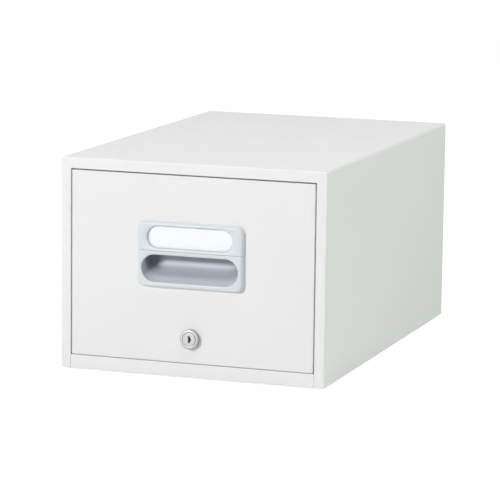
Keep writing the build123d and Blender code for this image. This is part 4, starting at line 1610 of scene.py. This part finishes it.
@dataclass
class Studio:
    """A white sweep behind the cabinet, a dimmer room on the camera's side, a white floor and three lamps."""

    room_front: float = 0.05
    room_back: float = 0.85
    room_top: float = 0.38
    sweep_from: float = -0.4
    sweep_to: float = 0.4
    ceiling_from: float = 0.3
    ceiling_to: float = 0.85
    floor_radius: float = 3200.0
    floor_middle: float = 80.0
    floor_white: float = 0.86
    floor_seen: float = 0.5
    floor_lift: float = 0.9
    # The place that the lamps look at, seen from the middle of the case's lower front edge
    lamp_target: tuple[float, float, float] = (0.0, 100.0, 100.0)
    # Azimuth and elevation in degrees, distance and side in millimetres, watts, and a tint
    lamps: tuple[Softbox, ...] = (
        Softbox("key_softbox", -20.0, 23.0, 3300.0, 650.0, 60.6),
        Softbox("top_softbox", 70.0, 74.0, 2200.0, 1500.0, 12.4),
        Softbox("side_softbox", 98.0, 22.0, 2600.0, 1300.0, 12.8, "#e4fbe0"),
    )

    def build(self, base: np.ndarray) -> None:
        """Makes the world, the floor, the lamps and the camera.

        Args:
            base: the middle of the case's lower front edge.
        """
        self._world()
        self._floor()
        for lamp in self.lamps:
            lamp.build(base + self.lamp_target)
        PhotoCamera().build(base)
        bpy.context.scene.view_settings.view_transform = "Standard"
        log.info("studio with %d lamps", len(self.lamps))

    def _world(self) -> None:
        """A surround whose level goes from the dim room in front to the bright sweep behind.

        The level is a mix of the room's and the sweep's by a smooth step of y, from front to back, and that
        is mixed with the ceiling's by a smooth step of z. To the camera, in reflections and through glass the
        surround is pure white.
        """
        world = bpy.data.worlds.new("white_surround")
        bpy.context.scene.world = world
        tree = cleared(world)
        where = add_node(tree, "ShaderNodeTexCoord")
        parts = add_node(tree, "ShaderNodeSeparateXYZ", Vector=where.outputs["Generated"])
        room = add_node(tree, "ShaderNodeMapRange", {
            "interpolation_type": "SMOOTHSTEP", "From Min": self.sweep_from, "From Max": self.sweep_to,
            "To Min": self.room_front, "To Max": self.room_back,
        }, Value=parts.outputs["Y"])
        room = add_node(tree, "ShaderNodeMapRange", {
            "interpolation_type": "SMOOTHSTEP", "From Min": self.ceiling_from,
            "From Max": self.ceiling_to, "To Max": self.room_top,
        }, Value=parts.outputs["Z"], To_Min=room.outputs["Result"])
        path = add_node(tree, "ShaderNodeLightPath")
        seen = add_node(
            tree, "ShaderNodeMath", {"operation": "MAXIMUM"},
            Value=path.outputs["Is Camera Ray"], Value_001=path.outputs["Is Glossy Ray"],
        )
        seen = add_node(
            tree, "ShaderNodeMath", {"operation": "MAXIMUM"},
            Value=seen.outputs["Value"], Value_001=path.outputs["Is Transmission Ray"],
        )
        level = add_node(
            tree, "ShaderNodeMapRange", {"To Max": 1.0},
            Value=seen.outputs["Value"], To_Min=room.outputs["Result"],
        )
        surround = add_node(
            tree, "ShaderNodeBackground", {"Color": (1.0, 1.0, 1.0, 1.0)}, Strength=level.outputs["Result"]
        )
        add_node(tree, "ShaderNodeOutputWorld", Surface=surround.outputs["Background"])

    def _floor(self) -> None:
        """Lays a wide white disc at the feet: to the camera it is lifted to white and its shadow is faint."""
        profile = np.array([(self.floor_radius, 0.0), (self.floor_middle, 0.0), (0.0, 0.0)])
        floor = make_piece("floor", [turned(profile, np.zeros(3), Way.UP, steps=96)])
        material = bpy.data.materials.new("white_sweep")
        tree = cleared(material)
        white, seen = (self.floor_white,) * 3 + (1.0,), (self.floor_seen,) * 3 + (1.0,)
        path = add_node(tree, "ShaderNodeLightPath")
        to_others = add_node(tree, "ShaderNodeBsdfDiffuse", {"Color": white})
        to_camera = add_node(tree, "ShaderNodeBsdfDiffuse", {"Color": seen})
        glow = add_node(tree, "ShaderNodeEmission", {"Strength": self.floor_lift})
        lifted = add_node(
            tree, "ShaderNodeAddShader", Shader=to_camera.outputs["BSDF"], Shader_001=glow.outputs["Emission"]
        )
        both = add_node(
            tree, "ShaderNodeMixShader", Fac=path.outputs["Is Camera Ray"],
            Shader=to_others.outputs["BSDF"], Shader_001=lifted.outputs["Shader"],
        )
        add_node(tree, "ShaderNodeOutputMaterial", Surface=both.outputs["Shader"])
        floor.data.materials.append(material)


def screw_groups(frame: dict[str, Any]) -> list[CrossHeadScrews]:
    """Lists the screw groups.


    Returns:
        One entry for each CAD node of screws.
    """

    def group(node: str, body: Body, way: Way | None = None, **sizes: Any) -> CrossHeadScrews:
        """Finds one group's screws.

        Args:
            node: the screws' CAD node.
            body: the body that they ride on.
            way: the way that the heads face; without one, each faces the drawer's middle.
            sizes: sizes that differ from the usual ones.

        Returns:
            The group.
        """
        solids = solids_of(frame["nodes"][node])
        ways = [way or (Way.RIGHT if solid.middle[0] < 0 else Way.LEFT) for solid in solids]
        return CrossHeadScrews(node, body, solids, ways, **sizes)

    sunk = {"sunk": True, "head": 6.4, "head_height": 1.2, "arm": 3.4, "arm_width": 0.9, "recess": 1.4}
    low = {"head_height": 1.1, "recess": 0.9}
    return [
        group("foot_screws", Body.CABINET, Way.DOWN, **low),
        group("slide_outer_screws", Body.CABINET, **sunk),
        group("drawer_front_screws", Body.DRAWER, Way.BACK),
        group("slide_inner_screws", Body.DRAWER),
        group("handle_screws", Body.DRAWER, Way.BACK),
        group("follower_screws", Body.FOLLOWER, Way.UP),
        group("cam_screw", Body.LOCK, Way.BACK),
    ]


def main() -> None:
    """Builds the cabinet's looks around the fixed frame."""
    logging.basicConfig(level=logging.INFO, format="%(message)s")
    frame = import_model()
    wardrobe = Wardrobe()
    wardrobe.dress_frame(frame)
    front = Place.of_node("drawer_front").low[1]
    corners = ("front_left", "front_right", "rear_left", "rear_right")
    pieces = [
        Pull(front, Place.of_node("handle_base"), Place.of_node("label_frame")),
        LabelFrame(front, Place.of_node("label_frame")),
        LabelSheet(Place.of_node("label_cover")),
        LockCollar(front, Place.of_node("lock_housing")),
        LockCore(Place.of_node("lock_plug")),
        *screw_groups(frame),
        *[Foot(corner, Place.of_node(f"foot_{corner}")) for corner in corners],
        Bumpers(solids_of(frame["nodes"]["rear_bumpers"])),
    ]
    for piece in pieces:
        piece.dress(wardrobe)
    case = Place.of_node("case_wrapper")
    Studio().build(np.array([0.0, case.low[1], case.low[2]]))


if __name__ == "__main__":
    main()
